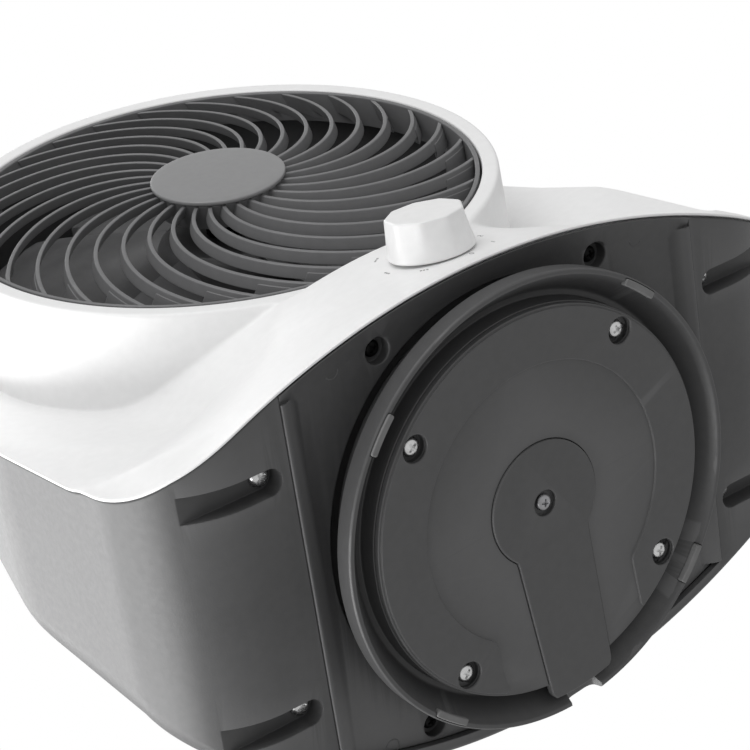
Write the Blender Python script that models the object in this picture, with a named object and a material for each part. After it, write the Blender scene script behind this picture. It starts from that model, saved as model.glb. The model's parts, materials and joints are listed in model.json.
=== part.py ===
"""Compact air mover: a turbo fan in a moulded housing that turns on a round base.

The fan stands on the table at z = 0 with +Z up, and blows towards -Y.
Lengths are in metres; MM turns a millimetre figure into metres.
"""
import math

import bmesh
import bpy
from mathutils import Matrix, Vector

MM = 0.001
GAP = 0.3 * MM
WALL = 2.5 * MM

# Fan axis: every piece of the air path is turned about it. It dips a little forwards.
FAN_CENTRE = Vector((0.0, -83.7, 198.7)) * MM
FAN_DIP = math.radians(3.8)
FAN_FORWARD = Vector((0.0, -math.cos(FAN_DIP), -math.sin(FAN_DIP)))
FAN_UP = Vector((0.0, -math.sin(FAN_DIP), math.cos(FAN_DIP)))
FAN_RIGHT = Vector((1.0, 0.0, 0.0))

# Housing outline, seen from the front.
LOW_Z = 15.8 * MM
HALF_WIDTH = 155.5 * MM
CORNER_RADIUS = 40 * MM
SHOULDER_Z = 135 * MM
SHOULDER_ROUND = 12 * MM
TOP_RADIUS = 130 * MM

# Front face: two shoulders, dished round the fan ring, and an apron that swells forwards under it.
SHOULDER_Y = -51.4 * MM
SHOULDER_SLOPE = 0.045
SHOULDER_LEVEL_Z = 170 * MM
DISH_DEPTH = 7 * MM
DISH_RADIUS = 165 * MM
DISH_WIDTH = 46 * MM
APRON_Y = -96 * MM
APRON_SLOPE = 0.12
APRON_CURVE = 1.79
APRON_HUG = 2.6
APRON_HUG_RADIUS = 205 * MM
APRON_HUG_WIDTH = 60 * MM
APRON_HEIGHT = 66 * MM
APRON_FADE_Z = 150 * MM
APRON_BLEND = 8 * MM
FLARE = 3 * MM
FLARE_HEIGHT = 20 * MM
FLARE_X = 90 * MM
FLARE_WIDTH = 50 * MM
LIP_DEPTH = 1.0 * MM

# Back of the housing.
REAR_Y = 99 * MM
REAR_CURVE = 2.1
REAR_SLOPE = 0.09
REAR_EDGE_LOW = 3 * MM
REAR_EDGE_HIGH = 16 * MM
SHELL_INSET = 0.8 * MM
SHELL_GAP = 0.5 * MM
# Only the front shell's thin lip lies over the rear shell's edge; its full wall starts inside that.
RIM_INSET = SHELL_INSET + WALL + SHELL_GAP
INTAKE_RADIUS = 92 * MM

# Fan ring of the front shell, as radius and depth along the fan axis (negative is inside).
CREASE_RADIUS = 118.8 * MM
CREST_RADIUS = 117.3 * MM
THROAT_RADIUS = 110.2 * MM
DUCT_DEPTH = -60 * MM
FLANGE_RADIUS = 122 * MM
FLANGE_THICKNESS = 2.5 * MM

# Swirl grille and its cap.
GRILLE_GAP = 0.9 * MM
VANE_COUNT = 30
VANE_START = math.radians(0.5)
VANE_SWEEP = math.radians(51.4)
VANE_INNER = 25.5 * MM
VANE_OUTER = 107.1 * MM
VANE_TOP = 3.7 * MM
VANE_DROP = 4.8 * MM
VANE_HEIGHT = 7 * MM
VANE_LEAN = 2 * MM
VANE_THICKNESS = 1.7 * MM
CAP_RADIUS = 28.5 * MM
CAP_TOP = 7.2 * MM

# Impeller, shaft, motor and bracket.
BLADE_COUNT = 5
BLADE_RADIUS = 99 * MM
BLADE_FRONT = -20 * MM
BLADE_BACK = -50 * MM
BLADE_THICKNESS = 2.2 * MM
BLADE_WIDTH = math.radians(58)
HUB_RADIUS = 30 * MM
SHAFT_RADIUS = 3.0 * MM
MOTOR_RADIUS = 37 * MM
MOTOR_FRONT = -69 * MM
MOTOR_BACK = -112 * MM
ARM_COUNT = 3

# Knob and rotary switch, on a line square to the apron.
KNOB_Z = 50.8 * MM
KNOB_RADIUS = 17.3 * MM
KNOB_TOP_RADIUS = 15.3 * MM
KNOB_HEIGHT = 17.5 * MM

# Underside.
PANEL_Z = 19.4 * MM
PANEL_HALF = 96.7 * MM
RAIL_WIDTH = 8 * MM
WELL_RADIUS = 85 * MM
WELL_FLOOR_Z = 25.4 * MM
WELL_TOP_Z = 27.9 * MM
DEEP_HOLE_X = 51.5 * MM
DEEP_HOLE_YS = (-77.5 * MM, 80.0 * MM)
DEEP_HOLE_RADIUS = 5.2 * MM
DEEP_HOLE_TOP = 26 * MM
POCKET_YS = (-48 * MM, 47 * MM)
POCKET_FLOOR_Z = 25 * MM
POCKET_INNER_X = 106 * MM
POCKET_RADIUS = 5.3 * MM

# Base. It is turned a little about the swivel axis, as it stands.
BASE_TURN = math.radians(-5.3)
BASE_RADIUS = 90 * MM
RIM_Z = 0.8 * MM
HUB_TOP_Z = 22 * MM
BOSS_RADIUS = 16 * MM
BOSS_TOP_Z = 33.5 * MM
COVER_RADIUS = 76.8 * MM
COVER_Z = 1.8 * MM
COVER_TOP_Z = 4.0 * MM
COVER_LAND = 0.8 * MM
LAND_INNER_RADIUS = 55.5 * MM
LAND_END = 34.5 * MM
KEYHOLE_RADIUS = 24.9 * MM
KEYHOLE_HALF_NEAR = 17.4 * MM
KEYHOLE_HALF_FAR = 15.2 * MM
KEYHOLE_END = 83.5 * MM
BASE_SCREW_RADIUS = 70.2 * MM
NOTCH_HALF = 8 * MM
PAD_ARC = math.radians(10.5)
PAD_RADII = (86.2 * MM, 89.0 * MM)
SEAT_RADIUS = 5.9 * MM
SEAT_BOSS_RADIUS = 6.45 * MM

# Fastener holes, and the cord's way up the pivot.
SCREW_HOLE = 1.9 * MM
BRACKET_SCREW_RADIUS = 116.6 * MM
WASHER_SCREW_RADIUS = 11 * MM
CORD_WAY = 3.5 * MM
CORD_WAY_SPOT = (0.0, 9.5 * MM)

SEGMENTS = 40
ROUND_SEGMENTS = 20


# ---------------------------------------------------------------- helpers

def clear_scene():
    for obj in list(bpy.data.objects):
        bpy.data.objects.remove(obj, do_unlink=True)


def material(name, color, roughness, metallic=0.0):
    mat = bpy.data.materials.new(name)
    mat.use_nodes = True
    shader = mat.node_tree.nodes["Principled BSDF"]
    shader.inputs["Base Color"].default_value = (*color, 1.0)
    shader.inputs["Roughness"].default_value = roughness
    shader.inputs["Metallic"].default_value = metallic
    return mat


def mesh_object(name, verts, faces, mat=None, parent=None, curved=False):
    """A mesh with its faces turned outwards. The quads of a doubly curved piece are split."""
    mesh = bpy.data.meshes.new(name)
    mesh.from_pydata([tuple(v) for v in verts], [], faces)
    bm = bmesh.new()
    bm.from_mesh(mesh)
    bmesh.ops.remove_doubles(bm, verts=bm.verts, dist=1e-7)
    bmesh.ops.recalc_face_normals(bm, faces=bm.faces)
    if curved:
        bmesh.ops.triangulate(bm, faces=bm.faces)
    bm.to_mesh(mesh)
    bm.free()
    return place_mesh(name, mesh, mat, parent)


def place_mesh(name, mesh, mat=None, parent=None):
    obj = bpy.data.objects.new(name, mesh)
    bpy.context.scene.collection.objects.link(obj)
    if mat:
        mesh.materials.clear()
        mesh.materials.append(mat)
    mesh.shade_smooth()
    mesh.set_sharp_from_angle(angle=math.radians(35))
    obj.parent = parent
    return obj


def empty(name, location, rotation=(0.0, 0.0, 0.0)):
    obj = bpy.data.objects.new(name, None)
    obj.location = location
    obj.rotation_euler = rotation
    bpy.context.scene.collection.objects.link(obj)
    return obj


def cutter(obj):
    obj.hide_render = True
    obj.display_type = "WIRE"
    return obj


def boolean(obj, operation, other):
    mod = obj.modifiers.new(operation.title() + " " + other.name, "BOOLEAN")
    mod.operation = operation
    mod.solver = "EXACT"
    mod.object = cutter(other)
    return obj


def ring_faces(ring_count, size, closed):
    """Quads between successive rings of `size` points; `closed` joins the last to the first."""
    faces = []
    for r in range(ring_count if closed else ring_count - 1):
        a = r * size
        b = ((r + 1) % ring_count) * size
        for i in range(size):
            j = (i + 1) % size
            faces.append((a + i, a + j, b + j, b + i))
    return faces


def loft(name, rings, mat=None, parent=None, closed=False, tips=None, curved=False):
    """A surface through rings of points: a closed tube, or one ended by two tip points."""
    size = len(rings[0])
    verts = [p for ring in rings for p in ring]
    faces = ring_faces(len(rings), size, closed)
    if not closed and tips is None:
        faces.append(tuple(range(size)))
        faces.append(tuple((len(rings) - 1) * size + i for i in range(size)))
    if tips is not None:
        first = len(verts)
        verts += list(tips)
        last = (len(rings) - 1) * size
        for i in range(size):
            j = (i + 1) % size
            faces.append((first, j, i))
            faces.append((first + 1, last + i, last + j))
    return mesh_object(name, verts, faces, mat, parent, curved)


def circle(radius, z=0.0, segments=ROUND_SEGMENTS, centre=(0.0, 0.0)):
    points = []
    for i in range(segments):
        a = 2 * math.pi * i / segments
        points.append(Vector((centre[0] + radius * math.cos(a), centre[1] + radius * math.sin(a), z)))
    return points


def turned(name, profile, mat=None, parent=None, segments=ROUND_SEGMENTS, bored=True):
    """A turned piece about local Z. A bored profile is a closed loop clear of the axis."""
    if bored:
        return loft(name, [circle(r, z, segments) for r, z in profile], mat, parent, closed=True)
    rings = [circle(r, z, segments) for r, z in profile[1:-1]]
    tips = (Vector((0, 0, profile[0][1])), Vector((0, 0, profile[-1][1])))
    return loft(name, rings, mat, parent, tips=tips)


def cylinder(name, radius, low, high, centre=(0.0, 0.0), parent=None, segments=ROUND_SEGMENTS):
    rings = [circle(radius, z, segments, centre) for z in (low, high)]
    return loft(name, rings, parent=parent)


def prism(name, outline, low, high, mat=None, parent=None):
    """A flat outline of (x, y) points, extruded from z = low to z = high."""
    rings = [[Vector((x, y, z)) for x, y in outline] for z in (low, high)]
    return loft(name, rings, mat, parent)


def box(name, low, high, mat=None, parent=None):
    outline = [(low[0], low[1]), (high[0], low[1]), (high[0], high[1]), (low[0], high[1])]
    return prism(name, outline, low[2], high[2], mat, parent)


def joined(name, objects, mat=None, parent=None):
    """One object from several closed pieces that don't touch, as an operand for a Boolean."""
    bm = bmesh.new()
    for obj in objects:
        part = obj.data.copy()
        part.transform(obj.matrix_basis)
        bm.from_mesh(part)
        bpy.data.objects.remove(obj, do_unlink=True)
    mesh = bpy.data.meshes.new(name)
    bm.to_mesh(mesh)
    bm.free()
    return place_mesh(name, mesh, mat, parent)


def rounds(name, radius, low, high, spots, axis=None, segments=12):
    """One operand from equal cylinders, one at each spot."""
    tools = joined(name, [cylinder("tool", radius, low, high, spot, segments=segments) for spot in spots])
    tools.parent = axis
    return tools


def baked(obj):
    """Apply the modifiers of an object and remove the cutters that they used."""
    cutters = [mod.object for mod in obj.modifiers]
    bpy.context.view_layer.update()
    evaluated = obj.evaluated_get(bpy.context.evaluated_depsgraph_get())
    mesh = bpy.data.meshes.new_from_object(evaluated)
    obj.modifiers.clear()
    obj.data = mesh
    for other in cutters:
        bpy.data.objects.remove(other, do_unlink=True)
    return obj


def polar(radius, angle):
    return radius * math.cos(angle), radius * math.sin(angle)


def fan_point(radius, angle, depth):
    """A point at a radius and angle about the fan axis, and a depth along it (forwards)."""
    across, up = polar(radius, angle)
    return FAN_CENTRE + across * FAN_RIGHT + up * FAN_UP + depth * FAN_FORWARD


# ---------------------------------------------------------------- housing surfaces

def ramp(value):
    return min(max(value, 0.0), 1.0)


def face_y(x, z):
    """Front face: the shoulders and the apron, blended where they meet."""
    out = math.hypot(x, z - FAN_CENTRE.z)
    dish = DISH_DEPTH * ramp((DISH_RADIUS - out) / DISH_WIDTH)
    shoulder = SHOULDER_Y + SHOULDER_SLOPE * min(z, SHOULDER_LEVEL_Z) + dish
    # The apron curves back more tightly where it nears the fan ring.
    hug = ramp((APRON_HUG_RADIUS - out) / APRON_HUG_WIDTH)
    curve = APRON_CURVE + APRON_HUG * hug * ramp((z - LOW_Z) / APRON_HEIGHT)
    # Its foot and its outer edges flare forwards a little.
    foot = ramp(1.0 - (z - LOW_Z) / FLARE_HEIGHT) ** 2
    aside = ramp((abs(x) - FLARE_X) / FLARE_WIDTH) ** 2
    flare = FLARE * (1 - (1 - foot) * (1 - aside))
    apron = APRON_Y + APRON_SLOPE * z + curve * x * x + max(z - APRON_FADE_Z, 0.0) - flare
    near = max(APRON_BLEND - abs(apron - shoulder), 0.0) / APRON_BLEND
    return min(apron, shoulder) - near * near * APRON_BLEND / 4


def rear_y(x, z):
    return REAR_Y - REAR_CURVE * x * x - REAR_SLOPE * (z - LOW_Z)


def arc(cx, cz, radius, start, end, steps):
    points = []
    for i in range(steps + 1):
        a = math.radians(start + (end - start) * i / steps)
        points.append((cx + radius * math.cos(a), cz + radius * math.sin(a)))
    return points


def outline(inset=0.0):
    """The housing seen from the front, counter-clockwise from the bottom centre."""
    half = HALF_WIDTH - inset
    low = LOW_Z + inset
    corner = CORNER_RADIUS - inset
    top = TOP_RADIUS - inset
    drop = SHOULDER_Z - FAN_CENTRE.z
    reach = math.hypot(half, drop)
    tangent = math.degrees(math.atan2(drop, half) + math.acos(top / reach))
    right = [((half - corner) * i / 6, low) for i in range(6)]
    right += arc(half - corner, low + corner, corner, -90, 0, 5)
    crown = arc(0.0, FAN_CENTRE.z, top, tangent, 90, 8)
    bend = Vector((half, SHOULDER_Z))
    slope = Vector(crown[0]) - bend
    below = bend - Vector((0.0, SHOULDER_ROUND))
    above = bend + slope.normalized() * SHOULDER_ROUND
    right += [(half, (low + corner + below.y) / 2), (half, below.y)]
    right += [tuple((below + above) / 4 + bend / 2), tuple(above)]
    right += [tuple(bend + slope * i / 4) for i in range(1, 4)]
    right += crown
    left = [(-x, z) for x, z in reversed(right[1:-1])]
    return right + left


def shrunk(points, share):
    """Outline points moved towards the fan axis: 1 leaves them, 0 is the axis itself."""
    cz = FAN_CENTRE.z
    return [(x * share, cz + (z - cz) * share) for x, z in points]


def rear_edge_radius(z):
    rise = min(max((z - LOW_Z) / CORNER_RADIUS, 0.0), 1.0)
    return REAR_EDGE_LOW + (REAR_EDGE_HIGH - REAR_EDGE_LOW) * rise


def housing_volume(name, inset, front_offset, rear_offset, mat=None):
    """The closed volume between the front face and the back, inset from the outline."""
    rim = outline(inset)
    rings = []
    for share in (0.3, 0.6, 0.8, 0.93):
        rings.append([Vector((x, face_y(x, z) + front_offset, z)) for x, z in shrunk(rim, share)])
    rings.append([Vector((x, face_y(x, z) + front_offset, z)) for x, z in rim])
    rings.append([Vector((x, rear_y(x, z) - rear_offset - rear_edge_radius(z), z)) for x, z in rim])
    for turn in (30, 60, 90):
        ring = []
        for x, z in rim:
            radius = rear_edge_radius(z)
            away = Vector((x, 0.0, z - FAN_CENTRE.z))
            cut = radius * (1 - math.cos(math.radians(turn)))
            inner = away * (1 - cut / away.length)
            y = rear_y(inner.x, inner.z + FAN_CENTRE.z) - rear_offset
            y -= radius * (1 - math.sin(math.radians(turn)))
            ring.append(Vector((inner.x, y, inner.z + FAN_CENTRE.z)))
        rings.append(ring)
    flat = [(p.x, p.z) for p in rings[-1]]
    for share in (0.85, 0.6, 0.3):
        rings.append([Vector((x, rear_y(x, z) - rear_offset, z)) for x, z in shrunk(flat, share)])
    cz = FAN_CENTRE.z
    tips = (Vector((0, face_y(0, cz) + front_offset, cz)), Vector((0, rear_y(0, cz) - rear_offset, cz)))
    return loft(name, rings, mat, tips=tips, curved=True)


# ---------------------------------------------------------------- fasteners

def screw_mesh(name, head_radius, head_height, shank_radius, length, mat, recess=True):
    """A pan-head screw. The head sits below z = 0, cross recess down, and the shank runs up."""
    profile = [(0.0, -head_height), (head_radius * 0.7, -head_height * 0.88),
               (head_radius, -head_height * 0.4), (head_radius, 0.0), (shank_radius, 0.0),
               (shank_radius, length - shank_radius), (0.0, length)]
    body = turned(name, profile, segments=12 if recess else 10, bored=False)
    arm = head_radius * 0.55
    half = head_radius * 0.13
    depth = head_height * 0.45
    points = [(arm, -half), (arm, half), (half, half), (half, arm), (-half, arm), (-half, half),
              (-arm, half), (-arm, -half), (-half, -half), (-half, -arm), (half, -arm), (half, -half)]
    cross = prism(name + "_cross", points, -2 * head_height, depth - head_height)
    if recess:
        baked(boolean(body, "DIFFERENCE", cross))
    else:
        bpy.data.objects.remove(cross, do_unlink=True)
    mesh = body.data
    bpy.data.objects.remove(body, do_unlink=True)
    mesh.materials.clear()
    mesh.materials.append(mat)
    return mesh


def screw(name, mesh, location, rotation=(0.0, 0.0, 0.0), parent=None):
    obj = bpy.data.objects.new(name, mesh)
    obj.location = location
    obj.rotation_euler = rotation
    obj.parent = parent
    bpy.context.scene.collection.objects.link(obj)
    return obj


# ---------------------------------------------------------------- front shell

def front_shell(mat):
    """The white front: face, lip, fan ring and duct, as one closed wall of even thickness."""
    edge = outline()
    rings = []

    def add(points, offset):
        rings.append([Vector((x, face_y(x, z) + offset, z)) for x, z in points])

    def between(share, inset):
        ring = []
        for x, z in outline(inset):
            away = Vector((x, z - FAN_CENTRE.z))
            crease = away.normalized() * CREASE_RADIUS
            spot = away.lerp(crease, share)
            ring.append((spot.x, spot.y + FAN_CENTRE.z))
        return ring

    angles = [math.atan2(z - FAN_CENTRE.z, x) for x, z in edge]

    def fan_ring(radius, depth):
        rings.append([fan_point(radius, a, depth) for a in angles])

    add(edge, LIP_DEPTH)
    add(edge, 0.5 * MM)
    add(outline(0.4 * MM), 0.1 * MM)
    add(outline(1.5 * MM), 0.0)
    for share in (0.25, 0.5, 0.75, 1.0):
        add(between(share, 1.5 * MM), 0.0)
    fan_ring(CREST_RADIUS, -3.0 * MM)
    fan_ring(CREST_RADIUS - 1.0 * MM, -0.9 * MM)
    fan_ring(CREST_RADIUS - 3.3 * MM, 0.0)
    fan_ring(THROAT_RADIUS + 1.0 * MM, -0.8 * MM)
    fan_ring(THROAT_RADIUS, -3.0 * MM)
    fan_ring(THROAT_RADIUS, DUCT_DEPTH)
    fan_ring(FLANGE_RADIUS, DUCT_DEPTH)
    fan_ring(FLANGE_RADIUS, DUCT_DEPTH + FLANGE_THICKNESS)
    fan_ring(THROAT_RADIUS + WALL, DUCT_DEPTH + FLANGE_THICKNESS)
    fan_ring(THROAT_RADIUS + WALL, -4.8 * MM)
    # Where the apron stands forward of the ring, the wall's inner side is outside the crease.
    turn = []
    crease_inside = []
    for (x, z), a in zip(between(1.0, 1.5 * MM), angles):
        proud = fan_point(CREASE_RADIUS, a, 0.0).y - face_y(x, z)
        side = -min(max(proud / (5 * MM), -1.0), 1.0)
        turn.append(fan_point(CREST_RADIUS - 2.3 * MM * side, a, -5.2 * MM))
        radius = CREASE_RADIUS - WALL * side
        away = Vector((x, z - FAN_CENTRE.z)).normalized() * radius
        crease_inside.append(Vector((away.x, face_y(x, z) + WALL, away.y + FAN_CENTRE.z)))
    rings.append(turn)
    rings.append(crease_inside)
    for share in (0.75, 0.5, 0.25):
        add(between(share, RIM_INSET), WALL)
    add(outline(RIM_INSET), WALL)
    add(outline(RIM_INSET), LIP_DEPTH)
    shell = loft("front_shell", rings, mat, closed=True, curved=True)
    hole_ends = (DUCT_DEPTH - 5 * MM, DUCT_DEPTH + 5 * MM)
    holes = rounds("flange_holes", SCREW_HOLE, *hole_ends, bracket_screw_spots())
    holes.matrix_basis = fan_matrix()
    boolean(shell, "DIFFERENCE", holes)
    shaft_hole = cylinder("shaft_hole", 5.0 * MM, -8 * MM, 8 * MM, segments=16)
    shaft_hole.matrix_basis = knob_matrix()
    boolean(shell, "DIFFERENCE", shaft_hole)
    return shell


def fan_matrix():
    return Matrix.Translation(FAN_CENTRE) @ Matrix.Rotation(math.pi / 2 + FAN_DIP, 4, "X")


def knob_matrix():
    spot = Vector((0.0, face_y(0.0, KNOB_Z), KNOB_Z))
    return Matrix.Translation(spot) @ Matrix.Rotation(math.pi / 2 - math.atan(APRON_SLOPE), 4, "X")


def bracket_screw_spots():
    return [polar(BRACKET_SCREW_RADIUS, math.radians(30 + 360 * i / ARM_COUNT)) for i in range(ARM_COUNT)]


# ---------------------------------------------------------------- rear shell and underside

def panel_outline(clearance=0.0, reach=0.0):
    """The underside panel from above: two curved edges between two straight seams."""
    half = PANEL_HALF + clearance
    count = 11
    xs = [-half + 2 * half * i / count for i in range(count + 1)]
    set_back = WALL + SHELL_GAP + GAP - clearance - reach
    front = [(x, face_y(x, PANEL_Z + WALL) + set_back) for x in xs]
    back = [(x, rear_y(x, LOW_Z) - REAR_EDGE_LOW - 3.5 * MM + clearance) for x in reversed(xs)]
    return front + back


def pocket_outline(side, y, grow=0.0):
    """A slot that runs from its round inner end out through the flank."""
    radius = POCKET_RADIUS + grow
    points = []
    for i in range(9):
        a = math.radians(90 + 180 * i / 8)
        points.append((side * (POCKET_INNER_X + radius * math.cos(a)), y + radius * math.sin(a)))
    points.append((side * HALF_WIDTH * 1.1, y - radius))
    points.append((side * HALF_WIDTH * 1.1, y + radius))
    return points


def rear_shell(mat):
    """The dark shell: an outer volume, hollowed, with four screw pockets in its flanks."""
    shell = housing_volume("rear_shell", SHELL_INSET, LIP_DEPTH + SHELL_GAP, 0.0, mat)
    hollow = housing_volume("hollow", SHELL_INSET + WALL, 0.0, WALL)
    spots = [(side, y) for side in (-1, 1) for y in POCKET_YS]
    walls = [prism("pocket_wall", pocket_outline(side, y, 2 * MM), 0.0, POCKET_FLOOR_Z + WALL)
             for side, y in spots]
    boolean(hollow, "DIFFERENCE", joined("pocket_walls", walls))
    boolean(shell, "DIFFERENCE", baked(hollow))
    slots = [prism("slot", pocket_outline(side, y), 0.0, POCKET_FLOOR_Z) for side, y in spots]
    boolean(shell, "DIFFERENCE", joined("pocket_slots", slots))
    holes = [cylinder("hole", 1.9 * MM, 0.0, 40 * MM, (side * POCKET_INNER_X, y), segments=12)
             for side, y in spots]
    boolean(shell, "DIFFERENCE", joined("pocket_holes", holes))
    opening = prism("underside_opening", panel_outline(GAP, 8 * MM), 0.0, LOW_Z + 8 * MM)
    boolean(shell, "DIFFERENCE", opening)
    intake = cylinder("intake_opening", INTAKE_RADIUS, -0.25, -0.1, segments=SEGMENTS)
    intake.matrix_basis = intake_matrix()
    boolean(shell, "DIFFERENCE", intake)
    return shell


def intake_matrix():
    return Matrix.Translation((0.0, FAN_CENTRE.y, FAN_CENTRE.z)) @ Matrix.Rotation(math.pi / 2, 4, "X")


def rear_grille(mat):
    """Curved bars across the intake inside a round frame, following the back of the shell."""
    outer = INTAKE_RADIUS - GAP
    inner = outer - 5 * MM
    angles = [2 * math.pi * i / SEGMENTS for i in range(SEGMENTS)]
    rings = []
    for radius, offset in ((outer, 0.0), (inner, 0.0), (inner, WALL), (outer, WALL)):
        spots = [(radius * math.cos(a), FAN_CENTRE.z + radius * math.sin(a)) for a in angles]
        rings.append([Vector((x, rear_y(x, z) - offset, z)) for x, z in spots])
    grille = loft("rear_grille", rings, mat, closed=True)
    bars = []
    pitch = 15 * MM
    half_bar = 2.2 * MM
    for i in range(-5, 6):
        z = i * pitch
        reach = math.sqrt((inner + 2 * MM) ** 2 - z * z)
        sections = []
        for k in range(5):
            x = reach * (2 * k / 4 - 1)
            low = FAN_CENTRE.z + z - half_bar
            high = FAN_CENTRE.z + z + half_bar
            back = 0.3 * MM
            front = WALL - 0.3 * MM
            corners = ((low, back), (high, back), (high, front), (low, front))
            sections.append([Vector((x, rear_y(x, level) - inset, level)) for level, inset in corners])
        bars.append(loft("bar", sections))
    boolean(grille, "UNION", joined("intake_bars", bars))
    ribs = []
    for x in (-45 * MM, 0.0, 45 * MM):
        reach = math.sqrt((inner + 2 * MM) ** 2 - x * x)
        sections = []
        corners = ((-2 * MM, 1.0 * MM), (2 * MM, 1.0 * MM), (2 * MM, 3.5 * MM), (-2 * MM, 3.5 * MM))
        for z in (FAN_CENTRE.z - reach, FAN_CENTRE.z + reach):
            sections.append([Vector((x + aside, rear_y(x, z) - inset, z)) for aside, inset in corners])
        ribs.append(loft("rib", sections))
    boolean(grille, "UNION", joined("intake_ribs", ribs))
    return grille


def bottom_panel(mat):
    """The underside between the seams, with the well that the base's hub turns in."""
    panel = prism("bottom_panel", panel_outline(), PANEL_Z, PANEL_Z + WALL, mat)
    front = panel_outline()[0][1]
    back = panel_outline()[-1][1]
    # A rail along the front edge lies flush with the front shell's lip.
    step_z = LOW_Z + RIM_INSET - SHELL_GAP - GAP
    rail_top = PANEL_Z + 1 * MM
    edge = LIP_DEPTH + SHELL_GAP + GAP
    behind = WALL + SHELL_GAP + GAP
    section = [(edge, LOW_Z), (edge + RAIL_WIDTH, rail_top), (behind, rail_top), (behind, step_z),
               (edge, step_z)]
    rings = [[Vector((x, face_y(x, z) + back, z)) for back, z in section]
             for x, _ in panel_outline()[:12]]
    boolean(panel, "UNION", loft("front_rail", rings))
    for side in (-1, 1):
        outer = side * PANEL_HALF
        section = [(outer, LOW_Z), (side * (PANEL_HALF - 2 * MM), LOW_Z),
                   (side * (PANEL_HALF - RAIL_WIDTH), PANEL_Z + 1 * MM), (outer, PANEL_Z + 1 * MM)]
        rings = [[Vector((x, y, z)) for x, z in section] for y in (front, back)]
        boolean(panel, "UNION", loft("rail_%d" % (side + 1), rings))
    wall_z = PANEL_Z + 1 * MM
    well_wall = cylinder("well_wall", WELL_RADIUS + WALL, wall_z, WELL_TOP_Z, segments=SEGMENTS)
    boolean(panel, "UNION", well_wall)
    boolean(panel, "DIFFERENCE", cylinder("well", WELL_RADIUS, 0.0, WELL_FLOOR_Z, segments=SEGMENTS))
    collar = cylinder("collar", 26 * MM, HUB_TOP_Z + 0.4 * MM, 33.2 * MM)
    boolean(panel, "UNION", collar)
    boolean(panel, "DIFFERENCE", cylinder("pivot_bore", BOSS_RADIUS + 0.4 * MM, 0.0, 50 * MM))
    spots = [(x, y) for x in (-DEEP_HOLE_X, DEEP_HOLE_X) for y in DEEP_HOLE_YS]
    tube_radius = DEEP_HOLE_RADIUS + 1.2 * MM
    boolean(panel, "UNION", rounds("screw_tubes", tube_radius, wall_z, DEEP_HOLE_TOP, spots, segments=16))
    ledge_z = DEEP_HOLE_TOP - 2 * MM
    boolean(panel, "DIFFERENCE", rounds("screw_bores", DEEP_HOLE_RADIUS, 0.0, ledge_z, spots, segments=16))
    boolean(panel, "DIFFERENCE", rounds("screw_pilots", SCREW_HOLE, 0.0, DEEP_HOLE_TOP + 5 * MM, spots))
    return panel


# ---------------------------------------------------------------- air path

def vane(index, parent=None):
    """One swirl vane: a thin blade that sweeps round as it runs out, on a domed front line."""
    start = VANE_START + 2 * math.pi * index / VANE_COUNT
    sections = []
    steps = 7
    for k in range(steps + 1):
        t = k / steps
        radius = VANE_INNER + (VANE_OUTER - VANE_INNER) * t
        angle = start + VANE_SWEEP * t ** 1.35
        top = VANE_TOP - VANE_DROP * t ** 2.1
        # Measured round the axis the blade is wider where it runs at a slant.
        slant = 1.35 * VANE_SWEEP * t ** 0.35 * radius / (VANE_OUTER - VANE_INNER)
        half = VANE_THICKNESS / 2 * math.hypot(1.0, slant) / radius
        # The blade leans as it goes deeper, so that its back edge trails its front edge.
        lean = VANE_LEAN / radius
        low = top - VANE_HEIGHT
        corners = ((-half, top), (half, top), (half - lean, low), (-half - lean, low))
        sections.append([Vector((*polar(radius, angle + aside), z)) for aside, z in corners])
    return loft("vane", sections, parent=parent)


def swirl_grille(mat, axis):
    """Outer ring, hub ring and thirty swept vanes, moulded as one piece."""
    outer = THROAT_RADIUS - GRILLE_GAP
    ring = [(outer, -14 * MM), (outer, -1.2 * MM), (outer - 0.7 * MM, -0.5 * MM),
            (outer - 2.6 * MM, -0.7 * MM), (outer - 2.6 * MM, -14 * MM)]
    grille = turned("swirl_grille", ring, mat, axis, segments=SEGMENTS)
    vanes = joined("vanes", [vane(i) for i in range(VANE_COUNT)])
    vanes.parent = axis
    boolean(grille, "UNION", vanes)
    hub = [(6 * MM, -6 * MM), (27 * MM, -6.5 * MM), (27 * MM, 3.8 * MM), (6 * MM, 3.8 * MM)]
    boolean(grille, "UNION", turned("grille_hub", hub, parent=axis, segments=32))
    return grille


def grille_cap(mat, axis):
    """A plain domed disc, with a pin that holds it in the grille's hub."""
    profile = [(0.0, -4 * MM), (5.6 * MM, -4 * MM), (5.6 * MM, 4.1 * MM),
               (CAP_RADIUS - 1.0 * MM, 4.1 * MM), (CAP_RADIUS, 4.7 * MM),
               (CAP_RADIUS, 5.6 * MM), (CAP_RADIUS - 1.4 * MM, 6.5 * MM),
               (CAP_RADIUS * 0.55, CAP_TOP - 0.1 * MM), (0.0, CAP_TOP)]
    return turned("grille_cap", profile, mat, axis, segments=SEGMENTS, bored=False)


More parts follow.
